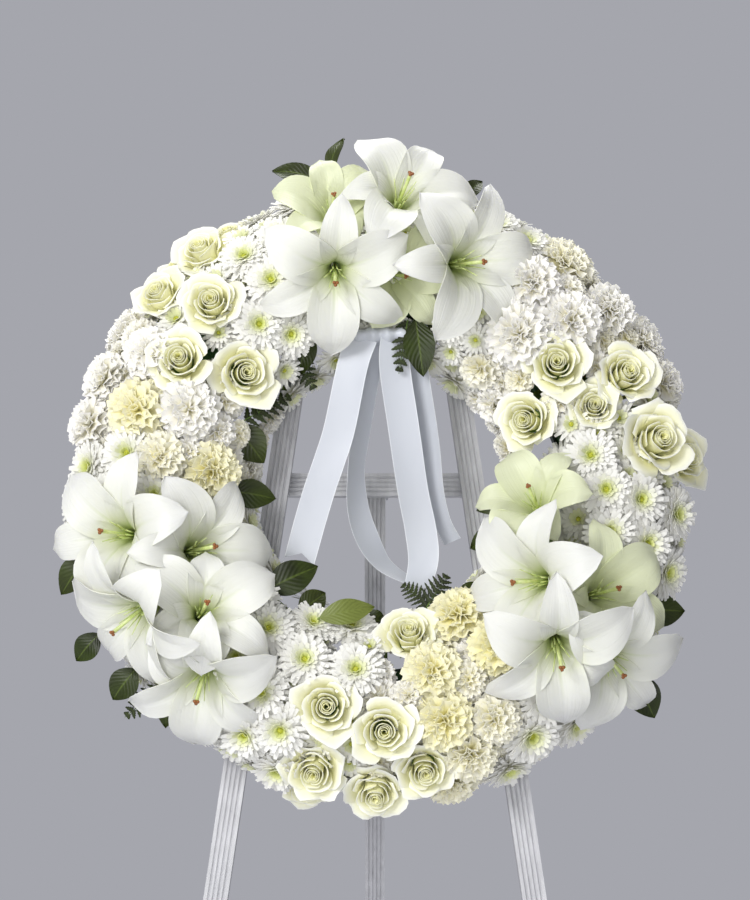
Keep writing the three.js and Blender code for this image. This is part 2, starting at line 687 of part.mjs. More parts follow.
// The plain six-sided shape that a lily fills, petals and all, and the upper part of it.
const lilyRim = (o, reach) => [
  [(32 + 22 * o) * reach, 45 - 8 * o],
  [(50 + 37 * o) * reach, 59 - 26 * o],
  [(50 + 37 * o) * reach, 70 - 22 * o],
  [0, 72],
];
const turned = (profile) => {
  const points = profile.map(([r, z]) => new THREE.Vector2(r, z));
  return new THREE.LatheGeometry(points, 6).rotateX(Math.PI / 2).rotateZ(rad(30));
};
const lilyRoom = (o) => turned([[0, -16], [7, -14], [21, 20], ...lilyRim(o, 1)]);
const lilyFace = (o) => turned([[0, 26], [14, 26], ...lilyRim(o, lily.shortened)]);

// Each lily: throat x, y as seen and its z, how far its stigma lies from the throat as seen, roll,
// scale and how wide it is open.
const lilies = {
  lilies_top: [
    [-51, 250, 98, 3, 36, 45, 0.9, 0.62],
    [12, 265, 88, 17, 38, 0, 1, 0.95],
    [-48, 211, 104, 2, -21, 28, 1, 1],
    [8, 205, 84, 19, -6, 10, 0.86, 0.6],
    [67, 213, 102, 34, -1, 13, 1.02, 1],
  ],
  lilies_left: [
    [-246, -60, 90, -29, 6, 10, 1, 0.95],
    [-196, -77, 86, 33, 8, 5, 1, 0.9],
    [-221, -119, 118, -40, -33, 25, 1, 1],
    [-180, -140, 106, 12, 19, 28, 0.98, 0.95],
    [-172, -182, 90, -8, -37, 15, 1, 0.95],
  ],
  lilies_right: [
    [159, -42, 96, -18, 37, 0, 0.86, 0.62],
    [167, -103, 112, -41, 0, 8, 1, 1],
    [204, -121, 94, 27, 12, 38, 0.98, 0.75],
    [169, -157, 114, 3, -27, 35, 1, 1],
    [214, -168, 82, 22, -28, 20, 0.95, 1],
  ],
};
for (const [name, blooms] of Object.entries(lilies)) {
  const places = blooms.map(([x, y, z, dx, dy, roll, scale, openness]) => {
    const throat = seen(x, y, z);
    const tip = V(dx, dy, Math.sqrt(lily.pistil ** 2 - dx ** 2 - dy ** 2));
    const axis = tip.applyAxisAngle(V(1, 0, 0), -rad(lean)).normalize();
    const matrix = stand(throat, axis, roll).scale(V(scale, scale, scale));
    return { throat, axis, matrix, openness, heart: V(0, 0, 42).applyMatrix4(matrix) };
  });
  places.sort((p, q) => q.heart.z - p.heart.z);
  const mean = places.reduce((sum, p) => sum.add(p.throat), V(0, 0, 0)).divideScalar(places.length);
  const clock = clockOf(mean);
  const fork = onRing(clock, 0, core.high + 9);
  const root = rod(onRing(clock, 0, 30), fork, 4, 4);
  const room = [swollen(root, clear)];
  const blossoms = places.map(({ throat, axis, matrix, openness }, i) => {
    const others = places.filter((p, k) => k !== i).map((p) => p.heart);
    const lengths = [0, 1, 2, 3, 4, 5].map((k) => {
      const tip = petalTip(k, openness).applyMatrix4(matrix);
      return farFrom(tip, others, lily.room) ? 1 : lily.shortened;
    });
    const neck = throat.clone().addScaledVector(axis, -6);
    room.push(lilyRoom(openness).applyMatrix4(matrix), swollen(rod(fork, neck, lily.stalk, 4), clear));
    const nearer = places.slice(0, i).map((p) => lilyFace(p.openness).applyMatrix4(p.matrix));
    const base = fork.clone().applyMatrix4(matrix.clone().invert());
    const own = solid(lilyBloom(openness, lengths, base).applyMatrix4(matrix));
    return nearer.length ? largest(own.subtract(joined(nearer))) : own;
  });
  plant(name, [root], lilyWhite, room, blossoms);
}

// Roses, each bloom on its own stem.

function rose(size, root) {
  const n = 8;
  const r = size / 2;
  const rows = [
    ringRow(stemSides, () => stemRadius, () => root.z).map((p) => p.add(V(root.x, root.y, 0))),
    ringRow(stemSides, () => stemRadius, () => -r),
    ringRow(n, () => r, (j) => (j % 2 ? 0.04 : -0.1) * r),
    ringRow(n, () => 0.7 * r, () => -0.22 * r, 0.3),
    ringRow(n, (j) => (j % 2 ? 0.7 : 0.6) * r, (j) => (j % 2 ? 0.24 : 0.33) * r, 0.6),
    ringRow(n, () => 0.4 * r, () => 0.0, 0.9),
    ringRow(n, (j) => (j % 2 ? 0.33 : 0.4) * r, () => 0.4 * r, 1.2),
  ];
  return closedRows(root.clone().add(V(0, 0, -1)), rows, V(0, 0, 0.14 * r));
}

// Each rose: x, y as seen, diameter, lift off the common surface.
const roses = {
  rose_upper_left: [[-186, 230, 66, 0], [-226, 226, 58, 0], [-228, 184, 60, 0], [-172, 174, 66, 0],
    [-203, 116, 66, 0], [-138, 103, 68, 0], [-172, 270, 52, 0]],
  rose_right: [[176, 112, 66, 0], [246, 102, 64, 0], [213, 71, 52, -8], [146, 55, 64, 0], [275, 34, 76, 4],
    [320, 18, 66, 0]],
  rose_bottom: [[-54, -226, 64, 0], [2, -249, 64, 4], [-67, -291, 66, 0], [42, -290, 62, 0],
    [-6, -314, 62, 4], [27, -157, 60, 0], [-78, -322, 52, 0]],
};
for (const [name, blooms] of Object.entries(roses)) {
  blooms.forEach(([x, y, size, lift], i) => {
    const { point, axis, tube } = onSurface(x, y, lift - size * 0.18, 0.75);
    const place = stand(point, axis, 23 * i);
    const root = onRing(clockOf(point), 14 * Math.sin(tube), 30).applyMatrix4(place.clone().invert());
    plant(name + "_" + (i + 1), [rose(size, root).applyMatrix4(place)], roseCream);
  });
}

// Carnations and spray chrysanthemums, in ten bunches round the ring.

const neckDepth = -20; // from a head's face down to its neck

function mum(size, root, n = 10) {
  const r = size / 2;
  const rows = [
    ringRow(stemSides, () => stemRadius, () => neckDepth),
    ringRow(n, (j) => (j % 2 ? 0.66 : 1) * r, (j) => (j % 2 ? -4 : 0)),
    ringRow(n / 2, () => 0.6 * r, () => 8, 0.5),
  ];
  return closedRows(root, rows, V(0, 0, 3));
}

const sideMum = (size, root) => mum(size, root, 8);

function carnation(size, root) {
  const n = 8;
  const r = size / 2;
  const rows = [
    ringRow(stemSides, () => stemRadius, () => neckDepth),
    ringRow(n, (j) => (j % 2 ? 0.88 : 1.04) * r, (j) => (j % 2 ? 3 : -6)),
    ringRow(n, () => 0.62 * r, (j) => (j % 2 ? 3 : 6)),
    ringRow(n / 2, () => 0.5 * r, () => 15, 0.5),
  ];
  return closedRows(root, rows, V(0, 0, 9));
}

// Heads as seen from in front, [x, y, diameter], and the ones on the sides by clock angle.
const carnations = [
  [-268, 150, 58], [-286, 100, 56], [-236, 124, 54], [-246, 66, 62], [-300, 52, 56], [-193, 66, 60],
  [-168, 4, 58], [-222, 18, 52],
  [138, 142, 66], [153, 196, 58], [192, 158, 60], [190, 220, 60], [234, 170, 58], [270, 140, 56],
  [292, 96, 54],
  [74, -136, 60], [114, -166, 56], [50, -190, 56], [62, -240, 58], [88, -276, 56], [70, -312, 54],
  [112, -240, 50],
];
const mums = [
  [-88, 280, 50], [-131, 268, 48], [-104, 242, 46], [-140, 222, 46], [-112, 197, 48], [-124, 152, 48],
  [-92, 142, 44], [-60, 290, 46],
  [100, 298, 50], [142, 276, 50], [118, 256, 46], [184, 262, 48], [222, 226, 50], [254, 190, 48],
  [148, 238, 44],
  [208, 20, 46], [223, -14, 48], [258, -24, 48], [226, -56, 46], [264, -68, 48], [296, -40, 48],
  [286, -98, 50],
  [-112, -150, 48], [-143, -178, 46], [-76, -180, 48], [-26, -190, 48], [-118, -212, 48], [-100, -250, 50],
  [-68, -146, 44], [-30, -150, 46], [-136, -256, 48], [-104, -294, 48],
  [148, -258, 54], [162, -222, 48], [194, -250, 50], [228, -216, 50], [128, -296, 48],
  [-255, 22, 48], [-296, 8, 48], [-312, -30, 48], [-268, -20, 48], [-226, -20, 46],
];
const sides = [
  { offset: 88, z: 36, spacing: 80, size: 80 },
  { offset: -86, z: 44, spacing: 82, size: 72 },
];

const heads = [];
const roseSpots = Object.values(roses).flat().map(([x, y]) => onSurface(x, y).point);
for (const [shape, list] of [[carnation, carnations], [mum, mums]]) {
  for (const [x, y, size] of list) heads.push({ shape, size, ...onSurface(x, y) });
}
for (const { offset, z, spacing, size } of sides) {
  const count = Math.round((2 * Math.PI * (ring.radius + offset)) / spacing);
  for (let k = 0; k < count; k++) {
    const clock = (360 * (k + 0.5)) / count;
    const point = onRing(clock, offset, z);
    const spots = [...heads.map((h) => h.point), ...roseSpots];
    if (!farFrom(point, spots, spacing * 0.82)) continue;
    const axis = onRing(clock, offset, 0).normalize().multiplyScalar(Math.sign(offset)).add(V(0, 0, 0.25));
    heads.push({ shape: sideMum, size, point, axis: axis.normalize() });
  }
}

// Where a head's stem meets the packed stems: halfway through them, on the way to the ring's heart.
function rootOf(point) {
  const c = core;
  const clock = clockOf(point);
  const heartZ = 34;
  const across = Math.hypot(point.x, point.y) - ring.radius;
  const up = point.z - heartZ;
  const slope = (c.footIn + c.footOut - c.topIn - c.topOut) / 2 / ((c.low + c.high) / 2 - c.foot);
  const wall = (c.footIn + c.footOut) / 2 - slope * (heartZ - c.foot);
  const toTop = up > 0 ? ((c.low + c.high) / 2 - heartZ) / up : Infinity;
  const toWall = wall / (Math.abs(across) + slope * up);
  const part = Math.min(toTop, toWall > 0 ? toWall : Infinity);
  return onRing(clock, across * part, Math.max(heartZ + up * part, c.foot + 4));
}

// No head is wider than its nearest neighbours leave room for.
const smallestHead = 34;
const roseReach = 27;
for (const head of heads) {
  const others = heads.filter((h) => h !== head).map((h) => h.point.distanceTo(head.point));
  const toRoses = roseSpots.map((spot) => 2 * (spot.distanceTo(head.point) - roseReach));
  head.size = Math.min(head.size, Math.max(smallestHead, Math.min(...others, ...toRoses)));
}

// The packed stems under each bunch, that its heads stand on: a saddle over the foam.
function stemCore(from, to) {
  const steps = 2;
  const c = core;
  const outer = [[-c.footOut, c.foot], [-c.topOut, c.high], [c.topOut, c.high], [c.footOut, c.foot]];
  const inner = [[c.footIn, c.foot], [c.topIn, c.low], [-c.topIn, c.low], [-c.footIn, c.foot]];
  const outline = [...outer, ...inner];
  const points = [];
  for (let i = 0; i <= steps; i++) {
    const clock = THREE.MathUtils.lerp(from, to, i / steps);
    for (const [offset, z] of outline) points.push(onRing(clock, offset, z));
  }
  const n = outline.length;
  const faces = [];
  for (let i = 0; i < steps; i++) {
    for (let j = 0; j < n; j++) {
      const [a, b] = [i * n + j, i * n + ((j + 1) % n)];
      faces.push([a, a + n, b + n], [a, b + n, b]);
    }
  }
  for (let j = 0; j < n / 2 - 1; j++) {
    const [a, b, d, e] = [j, j + 1, n - 2 - j, n - 1 - j];
    const end = steps * n;
    faces.push([a, b, d], [a, d, e], [end + a, end + d, end + b], [end + a, end + e, end + d]);
  }
  return geometryFrom(points, faces);
}

const bunches = {
  mums_top: [-12, 12, mumWhite],
  mums_upper_right: [12, 40, mumWhite],
  carnations_right: [40, 72, carnationCream],
  mums_right: [72, 108, mumWhite],
  mums_lower_right: [108, 148, mumWhite],
  carnations_bottom: [148, 182, carnationCream],
  mums_bottom: [182, 222, mumWhite],
  mums_lower_left: [222, 264, mumWhite],
  carnations_left: [264, 306, carnationCream],
  mums_upper_left: [306, 348, mumWhite],
};
const slit = 0.12; // degrees between bunches
for (const [name, [from, to, look]] of Object.entries(bunches)) {
  const midway = (from + to) / 2;
  const peg = rod(onRing(midway, 0, 30), onRing(midway, 0, f.top + 10), 3, stemSides);
  const parts = [stemCore(from + slit, to - slit), peg];
  for (const { shape, size, point, axis } of heads) {
    const clock = clockOf(point);
    const here = (clock >= from && clock < to) || (clock - 360 >= from && clock - 360 < to);
    if (!here) continue;
    const place = stand(point, axis);
    parts.push(shape(size, rootOf(point).applyMatrix4(place.clone().invert())).applyMatrix4(place));
  }
  plant(name, parts, look);
}

// The foam, with a plain hole for every stem.
plant("foam_ring", [foamShape], foamGreen);

// The origin: on the floor, under the middle of the whole.
group.updateMatrixWorld(true);
const whole = new THREE.Box3().setFromObject(group, true);
const middle = whole.getCenter(V());
group.position.set(-middle.x, -middle.y, -whole.min.z);

export default group;
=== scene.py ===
import math
import random

import bmesh
import bpy
from mathutils import Matrix, Vector


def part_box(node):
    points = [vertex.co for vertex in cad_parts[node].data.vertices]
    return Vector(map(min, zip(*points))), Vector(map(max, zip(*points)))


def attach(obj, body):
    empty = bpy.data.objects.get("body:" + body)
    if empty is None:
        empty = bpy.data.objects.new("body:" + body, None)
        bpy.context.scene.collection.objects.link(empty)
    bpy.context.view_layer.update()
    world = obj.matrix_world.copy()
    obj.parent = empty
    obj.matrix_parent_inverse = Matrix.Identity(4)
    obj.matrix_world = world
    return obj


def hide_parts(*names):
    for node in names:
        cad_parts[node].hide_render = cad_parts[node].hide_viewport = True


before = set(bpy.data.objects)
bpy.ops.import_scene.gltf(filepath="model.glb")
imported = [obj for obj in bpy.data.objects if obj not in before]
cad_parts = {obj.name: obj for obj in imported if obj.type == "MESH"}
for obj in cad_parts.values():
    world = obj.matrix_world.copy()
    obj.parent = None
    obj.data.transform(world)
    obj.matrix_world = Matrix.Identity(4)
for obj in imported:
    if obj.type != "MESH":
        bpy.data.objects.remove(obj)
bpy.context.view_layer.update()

body = "wreath_and_frame"

# The wreath and the front legs lean back together. Everything on them is laid out in millimetres in
# their own plane: x to the right, y up along the legs, z towards the viewer, from the middle of the
# ring at the back of its tray.
layout = {"lean": 12, "trayHeight": 17, "easelOffset": -7, "seenFrom": 100}
ring = {"radius": 222, "halfWidth": 92, "depth": 84, "middle": 24, "rootDepth": 36, "rootSpread": 24}
lean = math.radians(layout["lean"])
trayLow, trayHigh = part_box("ring_tray")
outOfPlane = Vector((0, -math.cos(lean), math.sin(lean)))
trayBack = (trayLow + trayHigh) / 2 - outOfPlane * layout["trayHeight"] / 2000
plane = Matrix.Translation(trayBack) @ Matrix.Rotation(math.pi / 2 - lean, 4, "X") @ Matrix.Scale(0.001, 4)


# A point seen at (x, y) from the ring's middle, that lies z in front of the tray's back.
def seen(x, y, z):
    drop = (z - layout["seenFrom"]) * math.sin(lean)
    return Vector((x, (y - drop) / math.cos(lean), z))


# The place on the domed cushion of flowers that is seen at (x, y), and the way it faces.
def onCushion(x, y, lift=0, facing=0.8):
    z = ring["middle"] + ring["depth"]
    for step in range(6):
        point = seen(x, y, z)
        across = math.hypot(point.x, point.y) - ring["radius"]
        tube = math.asin(max(-1, min(1, across / ring["halfWidth"])))
        z = ring["middle"] + ring["depth"] * math.cos(tube)
    outward = Vector((point.x, point.y, 0)).normalized()
    axis = outward * math.sin(tube * facing) + Vector((0, 0, math.cos(tube * facing)))
    spot = outward * (ring["radius"] + ring["halfWidth"] * math.sin(tube))
    return Vector((spot.x, spot.y, z)) + axis * lift, axis


def clockOf(point):
    return math.degrees(math.atan2(point.x, point.y)) % 360


def onRing(clock, across, z):
    r = ring["radius"] + across
    return Vector((r * math.sin(math.radians(clock)), r * math.cos(math.radians(clock)), z))


# Turns a bloom that was made facing +Z to face along axis, at a point.
def stand(point, axis, roll=0, size=1):
    side = Vector((0, 1, 0)).cross(axis).normalized()
    turn = Matrix((side, axis.cross(side), axis)).transposed().to_4x4()
    spin = Matrix.Rotation(math.radians(roll), 4, "Z")
    return Matrix.Translation(point) @ turn @ spin @ Matrix.Scale(size, 4)


def smooth(low, high, value):
    t = max(0, min(1, (value - low) / (high - low)))
    return t * t * (3 - 2 * t)


# Materials, each named for what the real one is.

def linear(code):
    parts = [int(code[i:i + 2], 16) / 255 for i in (1, 3, 5)]
    return tuple(c / 12.92 if c <= 0.04045 else ((c + 0.055) / 1.055) ** 2.4 for c in parts) + (1,)


def addNode(tree, kind, settings={}, values={}, links={}, stops=()):
    node = tree.nodes.new("ShaderNode" + kind)
    for name, value in settings.items():
        setattr(node, name, value)
    for name, value in values.items():
        node.inputs[name].default_value = value
    for name, socket in links.items():
        tree.links.new(socket, node.inputs[name])
    for i, (position, code) in enumerate(stops):
        stop = node.color_ramp.elements[i] if i < 2 else node.color_ramp.elements.new(position)
        stop.position = position
        stop.color = linear(code)
    return node


def newMaterial(name, values):
    material = bpy.data.materials.new(name)
    material.use_nodes = True
    surface = material.node_tree.nodes["Principled BSDF"]
    for socket, value in values.items():
        surface.inputs[socket].default_value = value
    return material, material.node_tree, surface


# Where a point lies on its petal or leaf: across from -1 to 1, along from 0 to 1, and how far in it is.
def petalPlace(tree):
    place = addNode(tree, "Attribute", {"attribute_name": "petal"})
    return addNode(tree, "SeparateXYZ", links={"Vector": place.outputs["Vector"]}).outputs


# Fine lines that run along a petal, as a height: count across half its width.
def veins(tree, place, count, wobble=0.6):
    across = addNode(tree, "Math", {"operation": "MULTIPLY"}, {1: count}, {0: place["X"]})
    along = addNode(tree, "Math", {"operation": "MULTIPLY"}, {1: wobble}, {0: place["Y"]})
    spot = addNode(tree, "CombineXYZ", links={"X": across.outputs[0], "Y": along.outputs[0]})
    lines = addNode(tree, "TexNoise", values={"Scale": 1, "Detail": 1}, links={"Vector": spot.outputs[0]})
    return lines.outputs["Fac"]


# Lily petals are waxy and thick: white with a soft gloss, green-yellow down in the throat, and with a
# pale green rib and fine veins along each petal.
def lilyPetalMaterial():
    material, tree, surface = newMaterial("waxy lily petal", {
        "Roughness": 0.42, "IOR": 1.4, "Subsurface Weight": 0.25, "Subsurface Radius": (0.006, 0.006, 0.004),
        "Subsurface Scale": 1.0, "Sheen Weight": 0.08,
    })
    place = petalPlace(tree)
    along = addNode(tree, "ValToRGB", links={"Fac": place["Y"]}, stops=[
        (0.0, "#8f9f48"), (0.14, "#b9c777"), (0.26, "#dde1bd"), (0.44, "#e9eadb"), (1.0, "#eeeee7")])
    fromRib = addNode(tree, "Math", {"operation": "ABSOLUTE"}, links={0: place["X"]})
    rib = addNode(tree, "MapRange", values={"From Min": 0.0, "From Max": 0.11, "To Min": 0.5, "To Max": 0.0},
                  links={"Value": fromRib.outputs[0]})
    fade = addNode(tree, "MapRange", values={"From Min": 0.2, "From Max": 0.7, "To Min": 1.0, "To Max": 0.0},
                   links={"Value": place["Y"]})
    onRib = addNode(tree, "Math", {"operation": "MULTIPLY"}, links={0: rib.outputs[0], 1: fade.outputs[0]})
    ribbed = addNode(tree, "Mix", {"data_type": "RGBA"}, {7: linear("#c3d18c")},
                     {0: onRib.outputs[0], 6: along.outputs["Color"]})
    green = addNode(tree, "Attribute", {"attribute_name": "tint"})
    tinted = addNode(tree, "Mix", {"data_type": "RGBA"}, {7: linear("#e3eab4")},
                     {0: green.outputs["Fac"], 6: ribbed.outputs[2]})
    tree.links.new(tinted.outputs[2], surface.inputs["Base Color"])
    bump = addNode(tree, "Bump", values={"Strength": 0.6, "Distance": 0.0008},
                   links={"Height": veins(tree, place, 12)})
    tree.links.new(bump.outputs["Normal"], surface.inputs["Normal"])
    return material


# Rose petals are velvety: ivory, greener and yellower in the heart and down at their base.
def rosePetalMaterial():
    material, tree, surface = newMaterial("velvet rose petal", {
        "Roughness": 0.5, "IOR": 1.4, "Subsurface Weight": 0.15, "Subsurface Radius": (0.002, 0.002, 0.0015),
        "Subsurface Scale": 1.0, "Sheen Weight": 0.1,
    })
    place = petalPlace(tree)
    along = addNode(tree, "ValToRGB", links={"Fac": place["Y"]}, stops=[
        (0.0, "#f8f8bc"), (0.5, "#fefcd2"), (0.85, "#fffee0"), (1.0, "#fffff4")])
    heart = addNode(tree, "ValToRGB", links={"Fac": place["Y"]}, stops=[
        (0.0, "#f4f6a4"), (0.6, "#fefcb4"), (0.95, "#fffdc8")])
    inner = {"From Min": 0.45, "From Max": 0.95}
    inside = addNode(tree, "MapRange", values=inner, links={"Value": place["Z"]})
    colours = {0: inside.outputs[0], 6: along.outputs["Color"], 7: heart.outputs["Color"]}
    mixed = addNode(tree, "Mix", {"data_type": "RGBA"}, links=colours)
    tree.links.new(mixed.outputs[2], surface.inputs["Base Color"])
    bump = addNode(tree, "Bump", values={"Strength": 0.25, "Distance": 0.0005},
                   links={"Height": veins(tree, place, 16)})
    tree.links.new(bump.outputs["Normal"], surface.inputs["Normal"])
    return material


# Spray chrysanthemum florets are matt and papery: clean white, turning green-yellow in the middle.
def mumPetalMaterial():
    material, tree, surface = newMaterial("papery chrysanthemum floret", {
        "Roughness": 0.6, "Subsurface Weight": 0.25, "Subsurface Radius": (0.003, 0.003, 0.003),
        "Subsurface Scale": 1.0,
    })
    place = petalPlace(tree)
    along = addNode(tree, "ValToRGB", links={"Fac": place["Y"]}, stops=[
        (0.0, "#dfe1a0"), (0.25, "#f4f3de"), (0.6, "#faf9f2")])
    inside = addNode(tree, "ValToRGB", links={"Fac": place["Y"]}, stops=[
        (0.0, "#a3b23a"), (0.6, "#cdd66c"), (1.0, "#e6ea9e")])
    inner = {"From Min": 0.55, "From Max": 0.9}
    middle = addNode(tree, "MapRange", values=inner, links={"Value": place["Z"]})
    colours = {0: middle.outputs[0], 6: along.outputs["Color"], 7: inside.outputs["Color"]}
    mixed = addNode(tree, "Mix", {"data_type": "RGBA"}, links=colours)
    tree.links.new(mixed.outputs[2], surface.inputs["Base Color"])
    bump = addNode(tree, "Bump", values={"Strength": 0.3, "Distance": 0.0004},
                   links={"Height": veins(tree, place, 5)})
    tree.links.new(bump.outputs["Normal"], surface.inputs["Normal"])
    return material


# Carnation petals are dry and soft: white to a soft yellow. The deeper yellow down between the ruffles is
# partly the petals' own cream and partly painted light, the warm glow of light bounced about in the crevices.
def carnationPetalMaterial():
    material, tree, surface = newMaterial("soft carnation petal", {
        "Roughness": 0.7, "Subsurface Weight": 0.25, "Subsurface Radius": (0.003, 0.003, 0.002),
        "Subsurface Scale": 1.0, "Sheen Weight": 0.15,
    })
    place = petalPlace(tree)
    # Both ramps turn deeper yellow at the petal base, between the ruffles: partly the petal's colour, partly
    # painted bounce light.
    white = addNode(tree, "ValToRGB", links={"Fac": place["Y"]}, stops=[
        (0.0, "#e9e5b4"), (0.5, "#fbf7e0"), (0.9, "#fefcf4")])
    yellow = addNode(tree, "ValToRGB", links={"Fac": place["Y"]}, stops=[
        (0.0, "#e2d87a"), (0.5, "#faf2a8"), (0.9, "#fef9cc")])
    tint = addNode(tree, "Attribute", {"attribute_name": "tint"})
    colours = {0: tint.outputs["Fac"], 6: white.outputs["Color"], 7: yellow.outputs["Color"]}
    mixed = addNode(tree, "Mix", {"data_type": "RGBA"}, links=colours)
    tree.links.new(mixed.outputs[2], surface.inputs["Base Color"])
    bump = addNode(tree, "Bump", values={"Strength": 0.3, "Distance": 0.0005},
                   links={"Height": veins(tree, place, 12)})
    tree.links.new(bump.outputs["Normal"], surface.inputs["Normal"])
    return material


# Salal and fern leaves have a leathery, waxed face: dark green, a pale midrib and slanting side veins.
def leafMaterial():
    waxed = {"Roughness": 0.42, "IOR": 1.4, "Coat Weight": 0.05}
    material, tree, surface = newMaterial("leathery leaf", waxed)
    place = petalPlace(tree)
    where = addNode(tree, "TexCoord").outputs["Object"]
    blotch = addNode(tree, "TexNoise", values={"Scale": 45, "Detail": 3}, links={"Vector": where})
    green = addNode(tree, "ValToRGB", links={"Fac": blotch.outputs["Fac"]}, stops=[
        (0.3, "#1b2207"), (0.7, "#323f10")])
    fromRib = addNode(tree, "Math", {"operation": "ABSOLUTE"}, links={0: place["X"]})
    rib = addNode(tree, "MapRange", values={"From Min": 0.02, "From Max": 0.09, "To Min": 0.6, "To Max": 0.0},
                  links={"Value": fromRib.outputs[0]})
    ribbed = addNode(tree, "Mix", {"data_type": "RGBA"}, {7: linear("#5d6e2c")},
                     {0: rib.outputs[0], 6: green.outputs["Color"]})
    young = addNode(tree, "Attribute", {"attribute_name": "tint"})
    tinted = addNode(tree, "Mix", {"data_type": "RGBA"}, {7: linear("#7f8a42")},
                     {0: young.outputs["Fac"], 6: ribbed.outputs[2]})
    slant = addNode(tree, "Math", {"operation": "MULTIPLY_ADD"}, {1: -0.35},
                    {0: fromRib.outputs[0], 2: place["Y"]})
    waves = addNode(tree, "Math", {"operation": "MULTIPLY"}, {1: 55.0}, {0: slant.outputs[0]})
    side = addNode(tree, "Math", {"operation": "SINE"}, links={0: waves.outputs[0]})
    tree.links.new(tinted.outputs[2], surface.inputs["Base Color"])
    bump = addNode(tree, "Bump", values={"Strength": 0.35, "Distance": 0.0004},
                   links={"Height": side.outputs[0]})
    tree.links.new(bump.outputs["Normal"], surface.inputs["Normal"])
    return material


# Plain soft plant parts: stems, calyxes, styles and stigmas, with a little change of colour along them.
def plantMaterial(name, dark, light, roughness, scale=120):
    material, tree, surface = newMaterial(name, {"Roughness": roughness, "Subsurface Weight": 0.05})
    where = addNode(tree, "TexCoord").outputs["Object"]
    noise = addNode(tree, "TexNoise", values={"Scale": scale, "Detail": 2}, links={"Vector": where})
    colour = addNode(tree, "ValToRGB", links={"Fac": noise.outputs["Fac"]}, stops=[(0.3, dark), (0.7, light)])
    tree.links.new(colour.outputs["Color"], surface.inputs["Base Color"])
    bump = addNode(tree, "Bump", values={"Strength": 0.3, "Distance": 0.0004},
                   links={"Height": noise.outputs["Fac"]})
    tree.links.new(bump.outputs["Normal"], surface.inputs["Normal"])
    return material


# Satin ribbon: a tight weave that shines along its length and lets a little light through. The real
# threads are 0.1 mm apart, so they are drawn five times coarser.
def satinMaterial():
    material, tree, surface = newMaterial("woven satin ribbon", {
        "Roughness": 0.3, "Subsurface Weight": 0.12, "Subsurface Radius": (0.003, 0.003, 0.003),
        "Subsurface Scale": 1.0, "Sheen Weight": 0.3, "Anisotropic": 0.5,
    })
    place = petalPlace(tree)
    fromMiddle = addNode(tree, "Math", {"operation": "ABSOLUTE"}, links={0: place["X"]})
    colour = addNode(tree, "ValToRGB", links={"Fac": fromMiddle.outputs[0]}, stops=[
        (0.0, "#cdd1d9"), (0.93, "#cdd1d9"), (0.96, "#e4e7ec")])
    threads = addNode(tree, "Math", {"operation": "MULTIPLY"}, {1: 200.0}, {0: place["X"]})
    weave = addNode(tree, "Math", {"operation": "SINE"}, links={0: threads.outputs[0]})
    tree.links.new(colour.outputs["Color"], surface.inputs["Base Color"])
    bump = addNode(tree, "Bump", values={"Strength": 0.15, "Distance": 0.0002},
                   links={"Height": weave.outputs[0]})
    tree.links.new(bump.outputs["Normal"], surface.inputs["Normal"])
    return material


# Brushed white paint on pine: semi-gloss, with strokes and grain along each batten, and greyer in
# patches where it has worn. All its colours are greys well below white paint: painted shade, laid over
# the whole easel.
def paintedWoodMaterial():
    material, tree, surface = newMaterial("white painted pine", {"Roughness": 0.38, "Coat Weight": 0.1})
    where = addNode(tree, "TexCoord").outputs["Object"]
    stretched = addNode(tree, "Mapping", values={"Scale": (1.0, 1.0, 0.12)}, links={"Vector": where})
    strokes = addNode(tree, "TexNoise", values={"Scale": 160, "Detail": 3, "Roughness": 0.6},
                      links={"Vector": stretched.outputs[0]})
    patches = addNode(tree, "TexNoise", values={"Scale": 9, "Detail": 4}, links={"Vector": where})
    both = addNode(tree, "Math", {"operation": "MULTIPLY"},
                   links={0: strokes.outputs["Fac"], 1: patches.outputs["Fac"]})
    # Greys in place of white paint: painted shade. The darkest stop is where strokes and worn patches meet.
    colour = addNode(tree, "ValToRGB", links={"Fac": both.outputs[0]}, stops=[
        (0.08, "#a6a6a9"), (0.16, "#bebec1"), (0.4, "#d2d2d5")])
    gloss = {"To Min": 0.22, "To Max": 0.4}
    shine = addNode(tree, "MapRange", values=gloss, links={"Value": patches.outputs["Fac"]})
    tree.links.new(colour.outputs["Color"], surface.inputs["Base Color"])
    tree.links.new(shine.outputs[0], surface.inputs["Roughness"])
    bump = addNode(tree, "Bump", values={"Strength": 0.08, "Distance": 0.0003},
                   links={"Height": strokes.outputs["Fac"]})
    tree.links.new(bump.outputs["Normal"], surface.inputs["Normal"])
    return material


# Zinc-plated steel: bright, with soft cloudy spangle.
def steelMaterial():
    material, tree, surface = newMaterial("zinc plated steel", {"Metallic": 1.0, "Roughness": 0.35})
    where = addNode(tree, "TexCoord").outputs["Object"]
    cells = addNode(tree, "TexVoronoi", values={"Scale": 260}, links={"Vector": where})
    colour = addNode(tree, "ValToRGB", links={"Fac": cells.outputs["Distance"]}, stops=[
        (0.0, "#a9adb2"), (1.0, "#c9cccf")])
    tree.links.new(colour.outputs["Color"], surface.inputs["Base Color"])
    bump = addNode(tree, "Bump", values={"Strength": 0.1, "Distance": 0.0002},
                   links={"Height": cells.outputs["Distance"]})
    tree.links.new(bump.outputs["Normal"], surface.inputs["Normal"])
    return material


# Moulded polypropylene tray: dark green with a fine spark-eroded grain.
def trayMaterial():
    moulded = {"Base Color": linear("#1f3524"), "Roughness": 0.48}
    material, tree, surface = newMaterial("moulded polypropylene", moulded)
    where = addNode(tree, "TexCoord").outputs["Object"]
    grain = addNode(tree, "TexNoise", values={"Scale": 900, "Detail": 2}, links={"Vector": where})
    bump = addNode(tree, "Bump", values={"Strength": 0.25, "Distance": 0.0002},
                   links={"Height": grain.outputs["Fac"]})
    tree.links.new(bump.outputs["Normal"], surface.inputs["Normal"])
    return material


